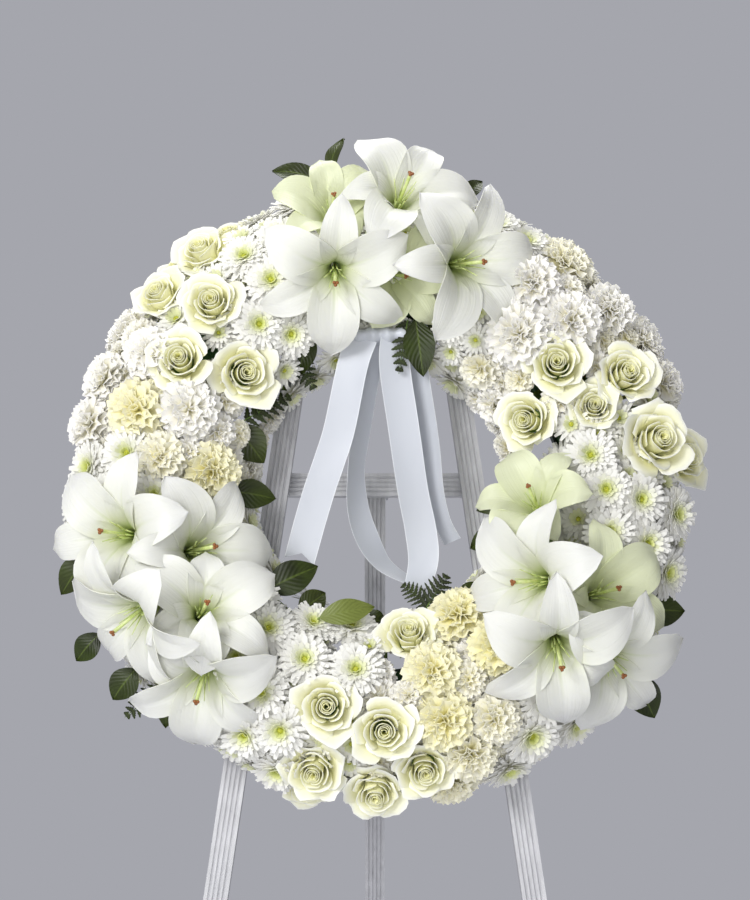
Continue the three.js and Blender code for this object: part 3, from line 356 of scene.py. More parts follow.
# Wet floral foam: dull green with pores, drawn at 1.2 mm so that they show.
def foamMaterial():
    material, tree, surface = newMaterial("wet phenolic foam", {"Roughness": 0.9})
    where = addNode(tree, "TexCoord").outputs["Object"]
    pores = addNode(tree, "TexVoronoi", values={"Scale": 800}, links={"Vector": where})
    colour = addNode(tree, "ValToRGB", links={"Fac": pores.outputs["Distance"]}, stops=[
        (0.1, "#22401f"), (0.6, "#426b3a")])
    tree.links.new(colour.outputs["Color"], surface.inputs["Base Color"])
    bump = addNode(tree, "Bump", values={"Strength": 0.5, "Distance": 0.0008},
                   links={"Height": pores.outputs["Distance"]})
    tree.links.new(bump.outputs["Normal"], surface.inputs["Normal"])
    return material


lilyPetalFinish = lilyPetalMaterial()
rosePetalFinish = rosePetalMaterial()
mumPetalFinish = mumPetalMaterial()
carnationPetalFinish = carnationPetalMaterial()
leafFinish = leafMaterial()
stemFinish = plantMaterial("green stem", "#4d6a2c", "#7f9a4c", 0.5)
styleFinish = plantMaterial("pale green style", "#b9cb6e", "#dbe4a4", 0.4)
stigmaFinish = plantMaterial("stigma", "#7a4a22", "#a86c38", 0.45, 600)
discFinish = plantMaterial("disc florets", "#8b9322", "#d3d04c", 0.7, 700)
satinFinish = satinMaterial()
woodWithPaintedShadeFinish = paintedWoodMaterial()
steelFinish = steelMaterial()
trayFinish = trayMaterial()
foamFinish = foamMaterial()
print("materials ready")


# Mesh helpers. Every point of a petal keeps its place on it in the attribute "petal".

def startMesh():
    bm = bmesh.new()
    bm.verts.layers.float_vector.new("petal")
    bm.verts.layers.float.new("tint")
    return bm


def paintFaces(verts, slot):
    for face in {face for vert in verts for face in vert.link_faces}:
        face.material_index = slot


def addPetal(bm, across, along, form, inner=0.0, slot=0, tint=0.0):
    place = bm.verts.layers.float_vector["petal"]
    tints = bm.verts.layers.float["tint"]
    verts = bmesh.ops.create_grid(bm, x_segments=across, y_segments=along, size=0.5)["verts"]
    for vert in verts:
        u, v = 2 * vert.co.x, vert.co.y + 0.5
        vert[place] = Vector((u, v, inner))
        vert[tints] = tint
        vert.co = form(u, v)
    paintFaces(verts, slot)


# Closes tips, turns every sheet one way and gives the sheets a thickness, straight back from each point.
def thicken(bm, thickness):
    bmesh.ops.remove_doubles(bm, verts=bm.verts, dist=0.05)
    bmesh.ops.recalc_face_normals(bm, faces=bm.faces)
    bm.normal_update()
    made = bmesh.ops.extrude_face_region(bm, geom=bm.faces[:], use_keep_orig=True)
    for vert in made["geom"]:
        if isinstance(vert, bmesh.types.BMVert):
            vert.co -= vert.normal * thickness
    bmesh.ops.recalc_face_normals(bm, faces=bm.faces)
    for edge in bm.edges:
        edge.smooth = edge.calc_face_angle(0) < 1


def addRod(bm, start, end, radius, tipRadius=None, sides=6, slot=1):
    along = end - start
    matrix = Matrix.Translation((start + end) / 2) @ along.to_track_quat("Z", "Y").to_matrix().to_4x4()
    tip = radius if tipRadius is None else tipRadius
    made = bmesh.ops.create_cone(bm, cap_ends=True, segments=sides, radius1=radius, radius2=tip,
                                 depth=along.length, matrix=matrix)
    paintFaces(made["verts"], slot)


def addBall(bm, centre, size, slot, detail=1):
    matrix = Matrix.Translation(centre) @ Matrix.Diagonal((*size, 1))
    made = bmesh.ops.create_icosphere(bm, subdivisions=detail, radius=1, matrix=matrix)
    paintFaces(made["verts"], slot)


def keepMesh(bm, name):
    mesh = bpy.data.meshes.new(name)
    bm.to_mesh(mesh)
    bm.free()
    return mesh


# Adds a copy of a finished bloom to a piece.
def addCopy(bm, template, matrix, tint=0.0):
    copy = template.copy()
    copy.transform(matrix)
    copy.attributes["tint"].data.foreach_set("value", [tint] * len(copy.vertices))
    bm.from_mesh(copy)
    bpy.data.meshes.remove(copy)


# Makes a piece of the visual model of what was built, in the place of a node of the CAD.
def finishPiece(bm, name, node, finishes):
    bmesh.ops.transform(bm, matrix=plane, verts=bm.verts)
    mesh = keepMesh(bm, name)
    mesh.polygons.foreach_set("use_smooth", [True] * len(mesh.polygons))
    for finish in finishes:
        mesh.materials.append(finish)
    piece = bpy.data.objects.new(name, mesh)
    bpy.context.scene.collection.objects.link(piece)
    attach(piece, body)
    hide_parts(node)
    return piece


# The easel, the hinge, the tray and the foam keep their shapes and get their finishes.
def finishNodes(names, finish):
    for name in names:
        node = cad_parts[name]
        node.data.materials.clear()
        node.data.materials.append(finish)


finishNodes(["front_leg_left", "front_leg_right", "crossbar", "top_bar", "rear_leg"], woodWithPaintedShadeFinish)
finishNodes(["hinge_bracket", "hinge_pin", "hanging_hook", "hanging_loop"], steelFinish)
finishNodes(["ring_tray"], trayFinish)
finishNodes(["foam_ring"], foamFinish)
print("easel and tray finished")

# Lilies. Each bloom: throat x, y as seen and its z, how far its stigma lies from the throat as seen,
# roll, size and how wide it is open.
lily = {"broad": 24.5, "narrow": 17.5, "thickness": 0.7, "pistil": 64, "filament": 50, "crowding": 36,
        "heart": 42, "shortened": 0.74, "halfOpen": 0.8, "green": 0.75, "root": 30, "fork": 73,
        "stem": 4, "stalk": (3.2, 4.4)}
lilies = {
    "lilies_top": [
        (-51, 250, 86, 3, 36, 45, 0.9, 0.62),
        (12, 265, 88, 17, 38, 0, 1, 0.95),
        (-48, 211, 104, 2, -21, 28, 1, 1),
        (8, 205, 74, 19, -6, 10, 0.86, 0.6),
        (67, 213, 102, 34, -1, 13, 1.02, 1),
    ],
    "lilies_left": [
        (-246, -60, 90, -29, 6, 10, 1, 0.95),
        (-196, -77, 86, 33, 8, 5, 1, 0.9),
        (-221, -119, 118, -40, -33, 25, 1, 1),
        (-180, -140, 106, 12, 19, 28, 0.98, 0.95),
        (-172, -182, 90, -8, -37, 15, 1, 0.95),
    ],
    "lilies_right": [
        (159, -42, 88, -18, 37, 0, 0.86, 0.62),
        (167, -103, 112, -41, 0, 8, 1, 1),
        (204, -121, 84, 27, 12, 38, 0.98, 0.75),
        (169, -157, 114, 3, -27, 35, 1, 1),
        (214, -168, 82, 22, -28, 20, 0.95, 1),
    ],
}


# A lily petal: its middle line is a curve that rises out of the throat and rolls back at the tip.
def lilyPetal(turn, openness, halfWidth, shorter, droop, phase):
    o = openness
    ends = [Vector((4, -6)), Vector((10, 34))]
    ends += [Vector((34 + 14 * o, 66 - 4 * o)), Vector((50 + 34 * o, 58 - 28 * o - droop))]
    ends[2:] = [ends[1].lerp(point, shorter) for point in ends[2:]]
    outward = Vector((math.cos(turn), math.sin(turn), 0))
    sideways = Vector((-math.sin(turn), math.cos(turn), 0))

    def form(u, v):
        w = 1 - v
        spot = ends[0] * w ** 3 + ends[1] * 3 * w * w * v + ends[2] * 3 * w * v * v + ends[3] * v ** 3
        way = (ends[1] - ends[0]) * w * w + (ends[2] - ends[1]) * 2 * w * v + (ends[3] - ends[2]) * v * v
        way.normalize()
        spot.y -= 4 * smooth(0.82, 1, v)
        width = halfWidth * (0.24 * w + max(0, math.sin(math.pi * min(1, v) ** 1.45)) ** 0.66)
        cup = (0.6 * w - 0.12 * smooth(0.55, 1, v)) * abs(u) ** 1.6 * width
        rib = -1.3 * math.exp(-(u / 0.14) ** 2) * smooth(0.1, 0.3, v) * smooth(1, 0.7, v)
        ruffle = 2.2 * abs(u) ** 2.5 * math.sin(10 * v + phase + (1.5 if u > 0 else 0)) * smooth(0.25, 0.6, v)
        rise = cup + rib + ruffle
        r, z = spot.x - way.y * rise, spot.y + way.x * rise
        return outward * r + sideways * u * width + Vector((0, 0, z))

    return form


def lilyBloom(openness, shorter, draw):
    bm = startMesh()
    for k in (1, 3, 5, 0, 2, 4):
        half = lily["broad"] if k % 2 == 0 else lily["narrow"]
        turn = math.radians(60 * k) + draw.uniform(-0.06, 0.06)
        droop = draw.uniform(-9, 1) + (14 if shorter[k] < 1 else 0) + (4 if k % 2 else 0)
        addPetal(bm, 10, 16, lilyPetal(turn, openness, half, shorter[k], droop, draw.uniform(0, 6)))
    thicken(bm, lily["thickness"])
    style = Vector((0, 0, lily["pistil"]))
    addRod(bm, Vector((0, 0, -4)), style * 0.96, 1.3, 2.0, 8, 2)
    for k in range(3):
        lobe = Vector((math.cos(2.1 * k) * 1.7, math.sin(2.1 * k) * 1.7, lily["pistil"]))
        addBall(bm, lobe, (2.1, 2.1, 1.8), 3)
    for k in range(6):
        turn = math.radians(60 * k + 30)
        out = Vector((math.cos(turn), math.sin(turn), 0))
        length = lily["filament"] * draw.uniform(0.86, 1)
        middle = out * 5 + Vector((0, 0, 0.55 * length))
        end = out * draw.uniform(9, 14) + Vector((0, 0, length))
        addRod(bm, out * 2 - Vector((0, 0, 2)), middle, 0.9, 0.8, 5, 2)
        addRod(bm, middle, end, 0.8, 0.45, 5, 2)
    return bm


for name, blooms in lilies.items():
    draw = random.Random(name)
    spots = []
    for x, y, z, dx, dy, roll, size, openness in blooms:
        throat = seen(x, y, z)
        tip = Vector((dx, dy, math.sqrt(lily["pistil"] ** 2 - dx ** 2 - dy ** 2)))
        axis = (Matrix.Rotation(lean, 3, "X") @ tip).normalized()
        spots.append((throat, axis, stand(throat, axis, roll, size), openness))
    middle = sum((spot[0] for spot in spots), Vector()) / len(spots)
    fork = onRing(clockOf(middle), 0, lily["fork"])
    piece = startMesh()
    addRod(piece, onRing(clockOf(middle), 0, lily["root"]), fork, lily["stem"], lily["stem"], 8)
    for i, (throat, axis, matrix, openness) in enumerate(spots):
        hearts = [spot[2] @ Vector((0, 0, lily["heart"])) for k, spot in enumerate(spots) if k != i]
        shorter = []
        for k in range(6):
            tip = Vector((44 + 36 * openness, 0, 66 - 26 * openness))
            tip = matrix @ (Matrix.Rotation(math.radians(60 * k), 3, "Z") @ tip)
            free = all((heart - tip).length > lily["crowding"] for heart in hearts)
            shorter.append(1 if free else lily["shortened"])
        bloom = keepMesh(lilyBloom(openness, shorter, draw), "bloom")
        addCopy(piece, bloom, matrix, lily["green"] if openness < lily["halfOpen"] else 0.0)
        addRod(piece, fork, throat - axis * 4, *lily["stalk"], 8)
    finishes = [lilyPetalFinish, stemFinish, styleFinish, stigmaFinish]
    finishPiece(piece, name + "_blooms", name, finishes)
print("lilies made")

# Roses. Each bloom: x, y as seen, diameter, lift off the common surface.
rose = {"radius": 31, "petals": 24, "thickness": 0.45, "golden": 2.4, "base": -15, "clear": 1.3,
        "sunk": 0.06, "facing": 0.55, "roll": 77, "templates": 5, "stem": 2.8}
roses = {
    "rose_upper_left": [(-186, 230, 66, 0), (-226, 226, 58, 0), (-228, 184, 60, 0), (-172, 174, 66, 0),
                        (-203, 116, 66, 0), (-138, 103, 68, 0), (-172, 270, 52, 0)],
    "rose_right": [(176, 112, 66, 0), (246, 102, 64, 0), (213, 71, 52, -8), (146, 55, 64, 0),
                   (275, 34, 76, 4), (308, 18, 62, 0)],
    "rose_bottom": [(-54, -226, 64, 0), (2, -249, 64, 4), (-67, -291, 66, 0), (42, -290, 62, 0),
                    (-6, -314, 62, 4), (27, -157, 60, 0), (-78, -322, 52, 0)],
}


# A rose petal of the spiral: t goes from 0 in the heart to 1 outside. The heart's petals stand up and
# wrap round it, and the outer ones open into bowls whose edges roll back and leave a point between them.
def rosePetal(t, turn, phase, jitter, tilt):
    w = smooth(0.3, 1, t)
    reach = (1.6 + 13 * t ** 0.8 + 18.5 * smooth(0.25, 1.1, t)) * jitter
    halfAngle = 1.8 - 0.95 * smooth(0, 0.8, t)
    top = 17 - 4 * t - 4.5 * w + tilt

    def form(u, v):
        rim = v * (1 - (0.05 + 0.12 * w) * abs(u) ** 2.2 + 0.05 * w * max(0, 1 - 4 * abs(u)))
        opened = rim ** (0.45 + 0.75 * w)
        r = reach * ((0.8 - 0.45 * w) + (0.2 + 0.45 * w) * opened) * (1 + 0.08 * u)
        edge = smooth(0.7, 1.0, v)
        r += edge * (0.5 + 2.4 * w * abs(u)) + 2.2 * w * edge * max(0, 1 - 2.5 * abs(u))
        z = rose["base"] + (top - rose["base"]) * (1 - max(0, 1 - rim) ** (1.7 - 0.65 * w))
        z -= edge * (0.5 * w + 2.6 * w * abs(u) ** 2) + 1.6 * w * smooth(0.92, 1, v)
        z += (0.4 + 1.4 * w) * math.sin(3 * u + phase) * v * v
        r += (0.3 + 1.1 * w) * math.sin(4.5 * u + 2 * phase) * v * v
        angle = turn + u * halfAngle * (0.62 + 0.38 * math.sin(math.pi * (0.12 + 0.74 * v)))
        return Vector((r * math.cos(angle), r * math.sin(angle), z))

    return form


def roseTemplate(seed):
    draw = random.Random(seed)
    bm = startMesh()
    for i in range(rose["petals"]):
        t = i / (rose["petals"] - 1)
        turn = i * rose["golden"] + draw.uniform(-0.2, 0.2)
        loose = 0.03 + 0.07 * smooth(0.3, 0.8, t)
        phase, jitter = draw.uniform(0, 6), draw.uniform(1 - loose, 1 + loose)
        addPetal(bm, 8, 8, rosePetal(t, turn, phase, jitter, draw.uniform(-2.5, 2.5) * t), 1 - t)
    thicken(bm, rose["thickness"])
    addRod(bm, Vector((0, 0, -26)), Vector((0, 0, -13)), 3, 12, 10)
    for k in range(5):
        turn = 1.257 * k
        out = Vector((math.cos(turn), math.sin(turn), 0))
        addRod(bm, out * 8 - Vector((0, 0, 17)), out * 21 - Vector((0, 0, 14)), 3.4, 0.4, 5)
    return keepMesh(bm, "rose")


def rootUnder(point):
    across = math.hypot(point.x, point.y) - ring["radius"]
    spread = max(-ring["rootSpread"], min(ring["rootSpread"], 0.3 * across))
    return onRing(clockOf(point), spread, ring["rootDepth"])


taken = []
roseTemplates = [roseTemplate(seed) for seed in range(rose["templates"])]
for name, blooms in roses.items():
    for i, (x, y, size, lift) in enumerate(blooms):
        point, axis = onCushion(x, y, lift - size * rose["sunk"], rose["facing"])
        piece = startMesh()
        scale = size / 2 / rose["radius"]
        matrix = stand(point, axis, rose["roll"] * i, scale)
        addCopy(piece, roseTemplates[i % rose["templates"]], matrix)
        addRod(piece, point - axis * 24 * scale, rootUnder(point), rose["stem"], rose["stem"], 7)
        taken.append((point, rose["clear"] * size / 2))
        node = f"{name}_{i + 1}"
        finishPiece(piece, node + "_bloom", node, [rosePetalFinish, stemFinish])
print("roses made")

# Greens. Each stem: its root's clock angle and side of the ring, then its leaves (l) and fronds (f), as
# kind, base x, base y, tip x, tip y, width, z at the base, z at the tip, twist, and how young it is.
greens = {"thickness": 0.6, "rootDepth": 26, "leaflets": 7, "leafletWidth": 0.44, "stem": (2.4, 2.2),
          "stalk": (1.6, 1.1), "rib": (0.9, 0.3)}
greenery = {
    "greens_top_left": (-13, 22, [
        ("l", -64, 304, -115, 320, 27, 52, 40, 20), ("l", -54, 312, -41, 354, 17, 52, 44, -30)]),
    "greens_top": (9, 22, [
        ("l", 17, 305, 21, 336, 15, 50, 40, 10), ("l", 84, 286, 106, 308, 17, 46, 40, 0)]),
    "greens_top_inside": (11, -22, [
        ("l", 34, 158, 42, 100, 32, 88, 86, 0), ("l", 52, 164, 66, 138, 22, 62, 58, 10),
        ("f", 26, 156, 17, 102, 26, 90, 86, 0), ("l", 66, 140, 106, 121, 13, 52, 42, 0)]),
    "greens_upper_left_inside": (-31, -22, [
        ("l", -74, 148, -86, 100, 26, 60, 52, 0), ("f", -92, 128, -69, 86, 28, 50, 44, 0)]),
    "greens_left_inside": (283, -22, [
        ("f", -139, 56, -92, 81, 30, 60, 52, 0), ("l", -150, 50, -120, 12, 36, 52, 44, 0),
        ("l", -156, -17, -107, -24, 30, 58, 50, 0)]),
    "greens_left": (240, 22, [
        ("l", -296, -80, -326, -122, 30, 48, 36, 0), ("l", -284, -160, -309, -188, 26, 46, 36, 0),
        ("l", -246, -194, -271, -226, 30, 50, 40, 0), ("f", -222, -214, -258, -243, 28, 44, 38, 0),
        ("l", -214, -216, -217, -254, 20, 44, 38, 0)]),
    "greens_bottom_left_inside": (207, -22, [
        ("l", -116, -116, -64, -91, 34, 64, 60, 0), ("l", -84, -138, -56, -118, 26, 58, 52, 10),
        ("l", -62, -141, -7, -130, 25, 96, 88, 0, 0.8), ("l", -20, -144, 6, -148, 20, 60, 54, 0)]),
    "greens_bottom_right_inside": (159, -22, [
        ("f", 44, -134, 66, -100, 32, 60, 56, 0), ("f", 46, -130, 20, -110, 24, 56, 52, 0),
        ("l", 74, -126, 103, -110, 20, 66, 60, 0)]),
    "greens_right_inside": (98, -22, [
        ("l", 136, -25, 95, -36, 22, 66, 60, 0), ("l", 120, -59, 89, -74, 24, 58, 52, 0),
        ("l", 160, 9, 132, 17, 15, 56, 50, 0)]),
    "greens_right": (127, 22, [
        ("l", 254, -137, 307, -137, 34, 54, 42, 0), ("l", 250, -200, 274, -244, 34, 50, 40, 0),
        ("l", 222, -206, 225, -235, 24, 46, 40, 0)]),
}


# Where a leaf or a frond starts and where its tip is.
def bladeEnds(kind, bx, by, tx, ty, width, bz, tz, *rest):
    return seen(bx, by, bz), seen(tx, ty, tz)


leafLines = [bladeEnds(*blade) for clock, side, blades in greenery.values() for blade in blades]

# Chrysanthemum heads: whorls of florets round a small disc, longest outside.
mum = {"radius": 24, "thickness": 0.4, "disc": 3.2, "broad": 2.5,
       "full": [(98, 26, 21), (87, 28, 23), (76, 27.5, 23), (65, 25.5, 21), (53, 22, 19), (41, 17.5, 16),
                (29, 13, 12), (16, 9.5, 8)],
       "small": [(92, 27, 18), (72, 26, 18), (52, 21, 16), (30, 14, 11)]}


def mumFloret(turn, fall, length, lift):
    outward = Vector((math.cos(turn), math.sin(turn), 0))
    sideways = Vector((-math.sin(turn), math.cos(turn), 0))
    way = outward * math.sin(fall) + Vector((0, 0, math.cos(fall)))
    up = way.cross(sideways)

    def form(u, v):
        width = 0.5 + mum["broad"] * max(0, math.sin(2.9 * v)) ** 0.6
        rise = lift * length * v * v
        return outward * 1.6 + way * length * v - up * rise + sideways * u * width + Vector((0, 0, -3))

    return form


def mumTemplate(seed, kind):
    draw = random.Random(seed)
    bm = startMesh()
    for layer, (fall, length, count) in enumerate(mum[kind]):
        for k in range(count):
            turn = 2 * math.pi * (k + 0.5 * (layer % 2)) / count + draw.uniform(-0.1, 0.1)
            tilt = math.radians(fall + draw.uniform(-7, 7))
            form = mumFloret(turn, tilt, length * draw.uniform(0.86, 1.04), 0.16 if layer > 1 else 0.08)
            addPetal(bm, 1, 3, form, layer / len(mum[kind]))
    thicken(bm, mum["thickness"])
    addBall(bm, Vector((0, 0, 0)), (mum["disc"], mum["disc"], 2.4), 2, 2)
    addRod(bm, Vector((0, 0, -15)), Vector((0, 0, -5)), 2, 7.5, 8)
    return keepMesh(bm, "mum")


# Carnation heads: whorls of fan-shaped petals with ruffled, toothed edges.
carnation = {"radius": 29, "thickness": 0.5, "teeth": 0.045,
             "full": [(94, 30, 8), (78, 31, 8), (61, 29, 7), (44, 26, 6), (27, 22, 5), (10, 18, 3)],
             "small": [(84, 30, 7), (60, 28, 7), (36, 24, 5), (12, 19, 3)]}


def carnationPetal(turn, fall, length, phase):
    outward = Vector((math.cos(turn), math.sin(turn), 0))
    sideways = Vector((-math.sin(turn), math.cos(turn), 0))
    way = outward * math.sin(fall) + Vector((0, 0, math.cos(fall)))
    up = way.cross(sideways)

    def form(u, v):
        width = 2.5 + 0.5 * length * v ** 1.15
        tooth = carnation["teeth"] * (1 if round((u + 1) * 5) % 2 else -1) * smooth(0.8, 1, v)
        along = length * (v * (1 - 0.12 * u * u) + tooth)
        ruffle = v * v * (3.0 * math.sin(7 * u + phase) + 2.0 * math.sin(15 * u + 2 * phase))
        return way * along + up * (ruffle - 0.1 * length * v * v) + sideways * u * width - Vector((0, 0, 6))

    return form


def carnationTemplate(seed, kind):
    draw = random.Random(seed)
    bm = startMesh()
    for layer, (fall, length, count) in enumerate(carnation[kind]):
        for k in range(count):
            turn = 2 * math.pi * (k + 0.5 * (layer % 2)) / count + draw.uniform(-0.2, 0.2)
            tilt = math.radians(fall + draw.uniform(-8, 8))
            form = carnationPetal(turn, tilt, length * draw.uniform(0.9, 1.03), draw.uniform(0, 6))
            addPetal(bm, 10, 3 if kind == "full" else 2, form, slot=3)
    thicken(bm, carnation["thickness"])
    addRod(bm, Vector((0, 0, -26)), Vector((0, 0, -5)), 5, 7, 9)
    return keepMesh(bm, "carnation")


# Heads as seen from in front, (x, y, diameter); a fourth value is how yellow a carnation is.
carnationHeads = [
    (-268, 150, 58), (-286, 100, 56), (-236, 124, 54), (-246, 66, 62, 0.8), (-300, 52, 56), (-193, 66, 60),
    (-168, 4, 58, 0.8), (-222, 18, 52, 0.4),
    (138, 142, 66), (153, 196, 58), (192, 158, 60), (190, 220, 60, 0.35), (234, 170, 58), (270, 140, 56),
    (292, 96, 54),
    (74, -136, 60, 0.9), (114, -166, 56, 1.0), (50, -190, 56, 0.8), (62, -240, 58, 0.9), (88, -276, 56, 0.5),
    (70, -312, 54, 0.5), (112, -240, 50, 0.4),
]
mumHeads = [
    (-88, 280, 50), (-131, 268, 48), (-104, 242, 46), (-140, 222, 46), (-112, 197, 48), (-124, 152, 48),
    (-92, 142, 44), (-60, 290, 46),
    (100, 298, 50), (142, 276, 50), (118, 256, 46), (184, 262, 48), (222, 226, 50), (254, 190, 48),
    (148, 238, 44),
    (208, 20, 46), (223, -14, 48), (258, -24, 48), (226, -56, 46), (264, -68, 48), (296, -40, 48),
    (286, -98, 50),
    (-112, -150, 48), (-143, -178, 46), (-76, -180, 48), (-26, -190, 48), (-118, -212, 48), (-100, -250, 50),
    (-68, -146, 44), (-30, -150, 46), (-136, -256, 48), (-104, -294, 48),
    (148, -258, 54), (162, -222, 48), (194, -250, 50), (228, -216, 50), (128, -296, 48),
    (-255, 22, 48), (-296, 8, 48), (-312, -30, 48), (-268, -20, 48), (-226, -20, 46),
]
bunches = {
    "mums_top": (-12, 12), "mums_upper_right": (12, 40), "carnations_right": (40, 72),
    "mums_right": (72, 108), "mums_lower_right": (108, 148), "carnations_bottom": (148, 182),
    "mums_bottom": (182, 222), "mums_lower_left": (222, 264), "carnations_left": (264, 306),
    "mums_upper_left": (306, 348),
}
filler = {"pitch": 30, "smallest": 27, "largest": 44, "inset": 5, "sunk": 22, "underLily": 62,
          "clearOfLeaves": 20, "layers": [(0, 0.62), (9, 0.3)],
          "rows": [0, -18, 18, -36, 36, -54, 54, -72, 72, -90, 90]}


def bunchAt(clock):
    for name, (start, end) in bunches.items():
        if start <= clock < end or start <= clock - 360 < end:
            return name


def fromLine(point, start, end):
    along = end - start
    t = max(0, min(1, (point - start).dot(along) / along.length_squared))
    return (start + along * t - point).length


heads = {name: [] for name in bunches}
for kind, table in (("carnation", carnationHeads), ("mum", mumHeads)):
    for x, y, size, *tint in table:
        point, axis = onCushion(x, y)
        taken.append((point, size / 2))
        heads[bunchAt(clockOf(point))].append((kind, "full", point, axis, size, tint[0] if tint else 0.0))

# Between and behind them, smaller or lower heads of the same bunch close the cushion, round to its back.
draw = random.Random(12)
lilyHearts = [seen(x, y, z) for blooms in lilies.values() for x, y, z, *rest in blooms]
for depth, overlap in filler["layers"]:
    for row, tube in enumerate(filler["rows"]):
        sine, cosine = math.sin(math.radians(tube)), math.cos(math.radians(tube))
        across = (ring["halfWidth"] - filler["inset"] - depth) * sine
        count = round(2 * math.pi * (ring["radius"] + across) / filler["pitch"])
        for k in range(count):
            clock = 360 * (k + 0.5 * (row % 2) + draw.uniform(-0.15, 0.15)) / count % 360
            height = ring["middle"] + (ring["depth"] - filler["inset"] - depth) * cosine
            point = onRing(clock, across, height)
            name = bunchAt(clock)
            kind = "carnation" if name.startswith("carnation") else "mum"
            room = min((spot - point).length - radius * overlap for spot, radius in taken)
            size = min(filler["largest"], 2 * room)
            hides = any(fromLine(point, *line) < filler["clearOfLeaves"] for line in leafLines)
            if size < filler["smallest"] or hides:
                continue
            out = onRing(clock, 0, 0).normalized()
            axis = (out * sine + Vector((0, 0, cosine + 0.15))).normalized()
            under = any((heart - point).length < filler["underLily"] for heart in lilyHearts)
            taken.append((point, size / 2))
            spot = point - axis * (filler["sunk"] if under else 0)
            heads[name].append((kind, "small", spot, axis, size, draw.choice((0.0, 0.1, 0.3))))

variety = {"templates": 4, "roll": 47, "stem": 2.2}
templates = {}
for form in ("full", "small"):
    seeds = range(variety["templates"])
    templates["mum", form] = [mumTemplate(seed, form) for seed in seeds]
    templates["carnation", form] = [carnationTemplate(seed, form) for seed in seeds]
radii = {"mum": mum["radius"], "carnation": carnation["radius"]}
for name, members in heads.items():
    piece = startMesh()
    for i, (kind, form, point, axis, size, tint) in enumerate(members):
        scale = size / 2 / radii[kind]
        matrix = stand(point, axis, variety["roll"] * i, scale)
        addCopy(piece, templates[kind, form][i % variety["templates"]], matrix, tint)
        addRod(piece, point - axis * 14 * scale, rootUnder(point), variety["stem"], variety["stem"], 6)
    finishes = [mumPetalFinish, stemFinish, discFinish, carnationPetalFinish]
    finishPiece(piece, name + "_heads", name, finishes)
print("bunches made:", sum(len(members) for members in heads.values()), "heads")


# The axes of a leaf that runs from base to tip and faces the viewer.
def leafAxes(base, tip, twist):
    along = (tip - base).normalized()
    side = Matrix.Rotation(math.radians(twist), 3, along) @ along.cross(Vector((0, 0, 1))).normalized()
    return along, side, side.cross(along)


def leafForm(base, tip, width, twist, phase):
    along, side, face = leafAxes(base, tip, twist)
    length = (tip - base).length

    def form(u, v):
        half = width / 2 * (0.04 * (1 - v) + max(0, math.sin(math.pi * min(1, v) ** 0.9)) ** 0.85)
        wave = 0.9 * math.sin(9 * v + phase) * u * u
        rise = 3 * abs(u) ** 1.3 * v + 5 * math.sin(math.pi * v) - 7 * v * v + wave
        return base + along * length * v - side * u * half + face * (rise + 1)

    return form


# One leaflet of a fern: a narrow toothed blade that leaves the rib at a slant.
def leafletForm(start, way, across, face, length, half):
    def form(u, v):
        tooth = 1 + (0.2 if round(v * 8) % 2 else -0.2)
        width = half * tooth * (1 - v) ** 0.6 if v < 1 else 0.02
        return start + way * length * v + across * u * width - face * 1.5 * v * v

    return form


def addFrond(bm, base, tip, width, twist):
    along, side, face = leafAxes(base, tip, twist)
    length = (tip - base).length
    half = length / greens["leaflets"] * greens["leafletWidth"]
    for i in range(greens["leaflets"]):
        s = (i + 0.3) / greens["leaflets"]
        reach = width / 2 * math.sin(math.pi * min(1, 0.32 + 0.66 * s)) + 1.5
        start = base + along * length * s + face * 10 * s * (1 - s)
        for sign in (-1, 1):
            way = (side * sign + along * 0.55).normalized()
            across = way.cross(face).normalized()
            addPetal(bm, 2, 8, leafletForm(start, way, across, face, reach, half))


for name, (clock, side, blades) in greenery.items():
    root = onRing(clock, side * 0.4, greens["rootDepth"])
    fork = onRing(clock, side * 2.75, greens["rootDepth"] + 6)
    draw = random.Random(name)
    piece = startMesh()
    for blade in blades:
        base, tip = bladeEnds(*blade)
        kind, width, twist, young = blade[0], blade[5], blade[8], blade[9:]
        if kind == "l":
            form = leafForm(base, tip, width, twist, draw.uniform(0, 6))
            addPetal(piece, 8, 12, form, tint=young[0] if young else draw.uniform(0, 0.12))
        else:
            addFrond(piece, base, tip, width, twist)
    thicken(piece, greens["thickness"])
    addRod(piece, root, fork, *greens["stem"], 7)
    for blade in blades:
        base, tip = bladeEnds(*blade)
        addRod(piece, fork, base, *greens["stalk"], 6)
        if blade[0] == "f":
            addRod(piece, base, tip, *greens["rib"], 5)
    finishPiece(piece, name + "_leaves", name, [leafFinish, stemFinish])
print("greens made")

# Ribbon: a gathered knot and four tails that hang plumb. Each tail: stations (x, y as seen, turned by
# degrees), how far in front it hangs, and how deep its end is notched.
ribbon = {"width": 32, "thickness": 0.35, "plumb": 45.2, "seenAt": 60, "rows": 48,
          "knot": (42, 9.5, 15.5), "knotAt": (2, 141, 79), "pleats": 17, "pick": (0, -12, 34)}
tails = {
    "ribbon_tail_front_left": ([(-20, 134, 10), (-30, 106, 13), (-43, 46, 0), (-53, 15, 0), (-63, -13, 0),
                                (-73, -45, 4), (-84, -84, 8)], 10, 9),
    "ribbon_tail_back_left": ([(-9, 134, -8), (-14, 106, -33), (-21, 46, -52), (-26, 7, -58), (-24, -30, -48),
                               (-14, -60, -40), (2, -84, -50), (26, -99, -62)], -4, 0),
    "ribbon_tail_front_right": ([(15, 134, -8), (13, 106, -12), (22, 46, -8), (31, -13, -8), (39, -52, 0),
                                 (42, -82, 14), (36, -108, 30)], 12, 0),
    "ribbon_tail_back_right": ([(25, 134, 8), (35, 106, 42), (43, 66, 52), (49, 27, 56), (54, -13, 58),
                                (62, -43, 60), (72, -62, 62)], -6, 0),
}


